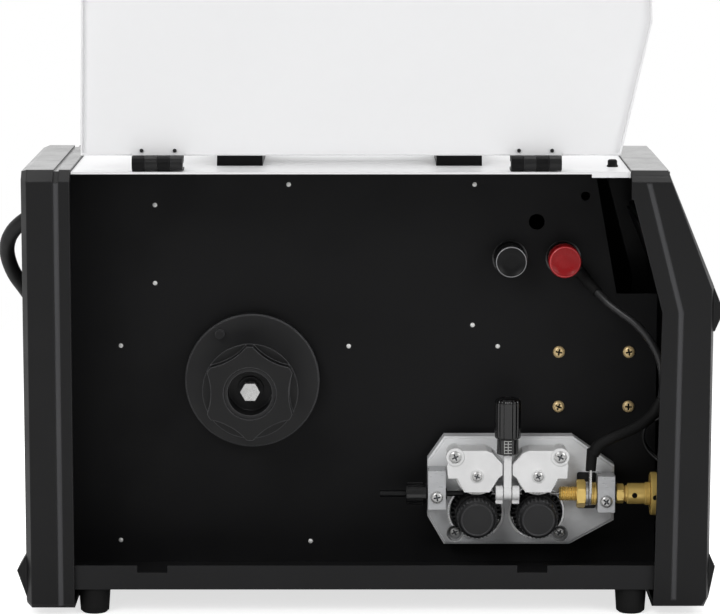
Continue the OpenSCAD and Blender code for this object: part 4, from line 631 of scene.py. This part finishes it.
# the crosses of these screws are painted in the motor's grey as shade
screws = screw_heads("feeder_screw_heads", "chassis", "steel", "motor",
                     phillips((61.8, -22, 45), FRONT, 4.2, 3.4, 2.5, 12, 0.5),
                     phillips((136.6, -22, 44.8), FRONT, 4.2, 3.4, 2.5, 12, 1.0),
                     phillips((48.5, -47, 75), FRONT, 4.4, 2.5, 2, 4, 0.2),
                     phillips((168.35, -47, 72), FRONT, 4.4, 2.5, 2, 3.6, 0.9))
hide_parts("feeder_screws")

for end, pivot_x, roll_x, turns in (("rear", 61.2, ROLL_XS[0], (0.4, 1.2)),
                                    ("front", 135.2, ROLL_XS[1], (1.1, 0.5))):
    # the crosses of these screws are painted in the motor's grey as shade
    screw_heads(f"arm_screws_{end}", f"pressure_arm_{end}", "steel", "motor",
                phillips((pivot_x, -52.8, 105), FRONT, 4.3, 1.5, 1.5, 1.2, turns[0]),
                phillips((roll_x, -52.8, 91.1), FRONT, 3.6, 1.3, 1.5, 1.2, turns[1]))


KNOB_Y = -50        # axis of the tension knob
COLLAR_R = 7.78     # its scale lies just outside its collar, which has radius 7.7
KNOB = [(0, 7.3), (0.5, 7.7), (10.6, 7.7), (11.2, 8.4), (11.9, 9.15), (13, 9.25), (36.5, 9.25),
        (37.3, 9.2), (38.2, 8.9), (39.2, 8.1), (39.8, 6.8), (40, 5.5), (39.6, 5.0)]
KNOB_GRIP = range(4, 10)    # the rows of its profile that carry flutes


def fluted(row, angle, radius):
    """Sixteen narrow flutes over the knob's grip."""
    if row in KNOB_GRIP:
        return radius - 0.55 * (0.5 + 0.5 * math.cos(16 * angle)) ** 3
    return radius


knob = piece("tension_knob_fluted",
             turned((FEEDER_X, KNOB_Y, 107), (0, 0, 1), KNOB, 128, fluted),
             "gloss_plastic", "tension_knob")
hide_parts("tension_knob")


def mark(angle, half_angle, z0, z1):
    """A thin curved mark on the knob's collar."""
    points, faces, steps = [], [], 4
    for depth in (-0.15, 0.0):
        r = COLLAR_R + depth
        for z in (z0, z1):
            for k in range(steps + 1):
                a = math.radians(angle + half_angle * (2 * k / steps - 1))
                points.append((FEEDER_X + r * math.sin(a), KNOB_Y - r * math.cos(a), z))
    row = steps + 1
    for k in range(steps):
        faces.append((2 * row + k, 2 * row + k + 1, 3 * row + k + 1, 3 * row + k))
        faces.append((k, row + k, row + k + 1, k + 1))
        faces.append((k, k + 1, 2 * row + k + 1, 2 * row + k))
        faces.append((row + k, 3 * row + k, 3 * row + k + 1, row + k + 1))
    faces.append((0, 2 * row, 3 * row, row))
    faces.append((steps, row + steps, 3 * row + steps, 2 * row + steps))
    return points, faces


ticks = [mark(0, 1.8, 108.2, 117.4), mark(-20, 1.2, 108.2, 117.4)]
ticks += [mark(side * 11, 8, z, z + 0.4)
          for side in (-1, 1) for z in (108.4, 110.6, 112.8, 115, 117)]
piece("tension_scale", joined(*ticks), "marks", "tension_knob")

CAP_SIDES = 96
CAP_GRIP = (2, 3)   # the rows of its profile that carry ribs
CAP_HIGHLIGHT = 5         # the band of its profile that is painted lighter as a highlight
CAP = [(0, 10.2), (0.9, 11.3), (1.6, 11.5), (15, 11.6), (16.2, 11.45), (17, 10.9), (17.4, 10.2),
       (17.35, 9.6), (16.9, 9.0), (16.8, 4.0), (16.8, 0.4)]


def ribbed(row, angle, radius):
    """Thirty ribs over the cap's side."""
    if row in CAP_GRIP:
        return radius - 0.35 * (0.5 + 0.5 * math.cos(30 * angle))
    return radius


for name, cap_finish, highlight_finish in (("black_terminal", "knob_black", "knob_rim_highlight"),
                                     ("red_terminal", "red", "red_rim_highlight")):
    cap = piece(name + "_cap",
                turned((TERMINALS[name], -16.4, TERMINAL_Z), FRONT, CAP, CAP_SIDES, ribbed),
                cap_finish, name)
    # the front rim gets a lighter colour, a painted highlight
    cap.data.materials.append(M[highlight_finish])
    for face in cap.data.polygons[CAP_HIGHLIGHT * CAP_SIDES:(CAP_HIGHLIGHT + 1) * CAP_SIDES]:
        face.material_index = 1
    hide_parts(name)


# ---- marks on the slanted upper front panel: scales round the dials, pointers, digits ----

DIALS = {"left_dial": -48, "right_dial": 48}
DIAL_UP = 22.016        # the dials' axes, up the slope from the fold


def on_slope(y, up, height):
    """A point over the slanted panel: up the slope from its fold, and out of it."""
    return FOLD + Vector((0, y, 0)) + SLOPE_UP * up + SLOPE_OUT * height


def bar(y, up, angle, near, far, half, low, high):
    """A thin bar on the panel, from near to far at an angle from straight up around (y, up)."""
    a = math.radians(angle)
    along, across = (math.sin(a), math.cos(a)), (math.cos(a), -math.sin(a))
    points = []
    for height, inset in ((low, 0.0), (high, 0.06)):
        for reach, side in ((near + inset, -1), (near + inset, 1),
                            (far - inset, 1), (far - inset, -1)):
            side *= half - inset
            points.append(on_slope(y + along[0] * reach + across[0] * side,
                                   up + along[1] * reach + across[1] * side, height))
    return points, [(3, 2, 1, 0), (4, 5, 6, 7), (0, 1, 5, 4), (1, 2, 6, 5), (2, 3, 7, 6),
                    (3, 0, 4, 7)]


ticks = []
for y in DIALS.values():
    for k in range(11):
        far, half = (16.8, 0.35) if k % 5 else (17.6, 0.5)
        ticks.append(bar(y, DIAL_UP, -140 + 28 * k, 14.2, far, half, 0.02, 0.2))
piece("dial_scales", joined(*ticks), "marks", "chassis", smooth=False)
for name, y in DIALS.items():
    piece(name + "_pointer", bar(y, DIAL_UP, 0, 2.4, 9.6, 0.6, 6.7, 7.25), "marks", name,
          smooth=False)

# a digit's seven segments as (side, level, angle)
SEGMENTS = [(0, 1, 90), (0, 0, 90), (0, -1, 90), (-1, 0.5, 0), (1, 0.5, 0), (-1, -0.5, 0),
            (1, -0.5, 0)]
DIGIT_UP, DIGIT_HALF_W, DIGIT_HALF_H = 57, 3.0, 6.2
segments = []
for digit_y in (-33, -23, -13, 13, 23, 33):
    for side, level, angle in SEGMENTS:
        y, up = digit_y + side * DIGIT_HALF_W, DIGIT_UP + level * DIGIT_HALF_H
        if angle:
            segments.append(bar(y - 2.4, up, angle, 0, 4.8, 0.55, -0.32, -0.12))
        else:
            segments.append(bar(y, up - 2.5, angle, 0, 5.0, 0.55, -0.32, -0.12))
piece("display_digits", joined(*segments), "segment", "chassis", smooth=False)


# ---- brass torch adapter, turned about the wire ----

BLOCK_LO, BLOCK_HI = 162.2, 174.5       # the outlet block that holds it, from rear to front
FLANGE = 199.8                          # rear face of its flange
HEX_STEP = math.pi / 3


def on_wire(x, profile, sides):
    """A shape turned about the wire's line from x on."""
    return turned((x, *WIRE), X_AXIS, profile, sides)


def nut(x, length, r):
    """A hexagon nut on the wire's line with chamfered ends, from x on; r reaches its corners."""
    def hexagon(row, angle, radius):
        return min(radius, r * math.cos(HEX_STEP / 2)
                   / math.cos(angle % HEX_STEP - HEX_STEP / 2))
    profile = [(0, 4.0), (0, r * 0.9), (0.6, r), (length - 0.6, r), (length, r * 0.9),
               (length, 4.0)]
    return turned((x, *WIRE), X_AXIS, profile, 48, hexagon)


THREAD = [(0, 3.6), (0.4, 4.6)]
for k in range(7):
    THREAD += [(0.6 + 1.6 * k, 4.5), (1.2 + 1.6 * k, 5.2), (1.6 + 1.6 * k, 5.2)]
THREAD += [(12.2, 4.5), (12.6, 4.6)]
COLLAR = [(0, 4), (0, 7.8), (0.3, 8.2), (1.2, 8.2), (1.5, 7.7), (1.8, 7.7), (2.1, 8.2),
          (3.6, 8.2), (4.0, 7.6), (4.0, 4)]
adapter = piece("torch_adapter_turned", joined(
    on_wire(BLOCK_LO - 27, THREAD, 40),
    nut(BLOCK_LO - 14.6, 6.2, 10.2),
    on_wire(BLOCK_LO - 9, [(0, 4.9), (14, 4.9)], 32),
    on_wire(BLOCK_LO - 4.4, COLLAR, 40),
    nut(BLOCK_HI + 1.4, 5.2, 7.2),
    on_wire(BLOCK_HI + 2, [(0, 4.9), (5, 4.9), (5.6, 5.9), (7, 5.9), (7.6, 4.9), (8, 4.9)], 32),
    on_wire(BLOCK_HI + 9, [(0, 5), (0, 6.8), (0.7, 7.5), (12.5, 7.5), (13, 8.2), (16, 8.2)], 48),
    on_wire(FLANGE, [(0, 9), (0, 14.6), (0.7, 15.4), (4.3, 15.4), (5, 14.7), (5, 9)], 64),
    on_wire(FLANGE + 4, [(0, 9), (26.4, 9), (27, 8.4), (27, 3.4), (16, 3.4), (16, 0.4)], 40)),
    "brass", "chassis")
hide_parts("torch_adapter")

WASHER = [(0, 4.9), (0, 8.2), (0.25, 8.6), (1.7, 8.6), (1.95, 8.2), (1.95, 4.9)]
piece("adapter_washer", on_wire(BLOCK_LO - 8.3, WASHER, 40), "steel", "chassis")

# ends of the wire guides, tapered as (x, length, first radius, last radius)
piece("guide_tips", joined(*[
    on_wire(x, [(0, r0), (0.3, r0 + 0.2), (length - 0.3, r1 + 0.2), (length, r1)], 20)
    for x, length, r0, r1 in ((87.5, 6, 0.8, 1.3), (103, 6, 1.3, 0.8), (128.6, 7, 0.7, 1.3))]),
    "steel", "chassis")

# cross holes, as dark discs of painted shade that stand just proud of the brass
piece("adapter_hole_shade", joined(
    turned((BLOCK_HI + 14, WIRE[0] - 7.35, WIRE[1]), FRONT,
           [(-0.6, 1.9), (0.2, 1.9), (0.2, 0.5)], 24),
    turned((FLANGE + 2.5, WIRE[0] - 15.2, WIRE[1]), FRONT,
           [(-0.6, 1.7), (0.3, 1.7), (0.3, 0.5)], 24)),
    "recess_shade", "chassis")


def slab(x0, x1, y0, y1, z0, z1, corner):
    """A plate with rounded corners, seen from the front, and a bevel round its near face."""
    half_x, half_z = (x1 - x0) / 2, (z1 - z0) / 2
    outline = rounded(half_x, half_z, corner, 4)
    mid_x, mid_z = (x0 + x1) / 2, (z0 + z1) / 2
    rows = ((y1, 0.0), (y0 + 0.4, 0.0), (y0, 0.4))
    points = [(mid_x + a * (1 - inset / half_x), y, mid_z + b * (1 - inset / half_z))
              for y, inset in rows for a, b in outline]
    return points, skin(len(rows), len(outline))


piece("adapter_insulator", slab(148.6, 162.0, -29.6, -27.9, 63.5, 89.5, 1.5), "insulator",
      "chassis")


def plate(lo, hi):
    """A plain plate between two corners."""
    (x0, y0, z0), (x1, y1, z1) = lo, hi
    points = [(x, y, z) for x in (x0, x1) for y in (y0, y1) for z in (z0, z1)]
    return points, [(0, 1, 3, 2), (4, 6, 7, 5), (0, 4, 5, 1), (2, 3, 7, 6), (0, 2, 6, 4),
                    (1, 5, 7, 3)]


piece("rear_panel_sill", plate((-213.4, -84, 10.2), (-212.2, 84, 18.4)), "black_coat",
      "chassis", smooth=False)


# ---- stage: pale floor, plain light ----

WHITE = (1, 1, 1, 1)


def stage_material():
    """Pale matt floor. Camera rays see it lifted, and plain white away from the machine."""
    mat = bpy.data.materials.new("floor")
    mat.use_nodes = True
    tree = mat.node_tree
    shader = tree.nodes["Principled BSDF"]
    for key, value in {"Base Color": (0.82, 0.82, 0.82, 1), "Roughness": 0.9,
                       "Specular IOR Level": 0.0, "Emission Color": WHITE}.items():
        shader.inputs[key].default_value = value
    by_camera = shader_node(tree, "LightPath").outputs["Is Camera Ray"]
    lift = shader_node(tree, "Math", {0: by_camera, 1: 0.70}, operation="MULTIPLY")
    tree.links.new(lift.outputs[0], shader.inputs["Emission Strength"])
    place = shader_node(tree, "TexCoord").outputs["Object"]
    reach = shader_node(tree, "VectorMath", {0: place}, operation="LENGTH").outputs["Value"]
    ease = map_range(tree, reach, 0.55, 1.3, curve="SMOOTHSTEP")
    seen = shader_node(tree, "Math", {0: ease, 1: by_camera}, operation="MULTIPLY").outputs[0]
    plain = shader_node(tree, "Emission", {"Color": WHITE, "Strength": 1.0}).outputs["Emission"]
    mix = shader_node(tree, "MixShader", {"Fac": seen, 1: shader.outputs["BSDF"], 2: plain})
    tree.links.new(mix.outputs["Shader"], tree.nodes["Material Output"].inputs["Surface"])
    return mat


FLOOR_HALF = 40     # metres
floor_mesh = bpy.data.meshes.new("floor")
floor_mesh.from_pydata([(x * FLOOR_HALF, y * FLOOR_HALF, 0)
                        for x, y in ((-1, -1), (1, -1), (1, 1), (-1, 1))], [], [(0, 1, 2, 3)])
floor_mesh.materials.append(stage_material())
floor = bpy.data.objects.new("floor", floor_mesh)
scene.collection.objects.link(floor)

# the world lights the part more from behind than from the front, and camera rays see it white
world = bpy.data.worlds.new("studio")
scene.world = world
world.use_nodes = True
tree = world.node_tree
tree.nodes.clear()
around = shader_node(tree, "TexCoord").outputs["Generated"]
depth = shader_node(tree, "SeparateXYZ", {"Vector": around}).outputs["Y"]
strength = map_range(tree, depth, -0.2, 0.6, 0.30, 0.88, "SMOOTHSTEP")
light = shader_node(tree, "Background", {"Color": WHITE, "Strength": strength})
white = shader_node(tree, "Background", {"Color": WHITE, "Strength": 1.0})
path = shader_node(tree, "LightPath").outputs
seen = shader_node(tree, "Math", {0: path["Is Camera Ray"], 1: path["Is Transmission Ray"]},
                   operation="MAXIMUM")
mix = shader_node(tree, "MixShader", {"Fac": seen.outputs[0], 1: light.outputs["Background"],
                                      2: white.outputs["Background"]})
shader_node(tree, "OutputWorld", {"Surface": mix.outputs["Shader"]})


def lamp(name, at, aim, size, power):
    """A square area lamp that looks at a point. Its size is in metres, its power in watts."""
    data = bpy.data.lights.new(name, "AREA")
    data.shape = "RECTANGLE"
    data.size = data.size_y = size
    data.energy = power
    ob = bpy.data.objects.new(name, data)
    ob.location = at
    ob.rotation_euler = (Vector(aim) - Vector(at)).to_track_quat("-Z", "Y").to_euler()
    scene.collection.objects.link(ob)


lamp("key", (-1.5, -2.8, 2.3), (0, 0, 0.3), 1.6, 40)
lamp("fill", (2.2, -2.3, 1.5), (0, 0, 0.3), 1.8, 26)
lamp("top", (0, 0.5, 3.0), (0, 0.1, 0.3), 2.2, 40)
lamp("back", (0.6, 2.8, 2.8), (0, 0, 0.3), 2.0, 10)

scene.view_settings.view_transform = "Standard"
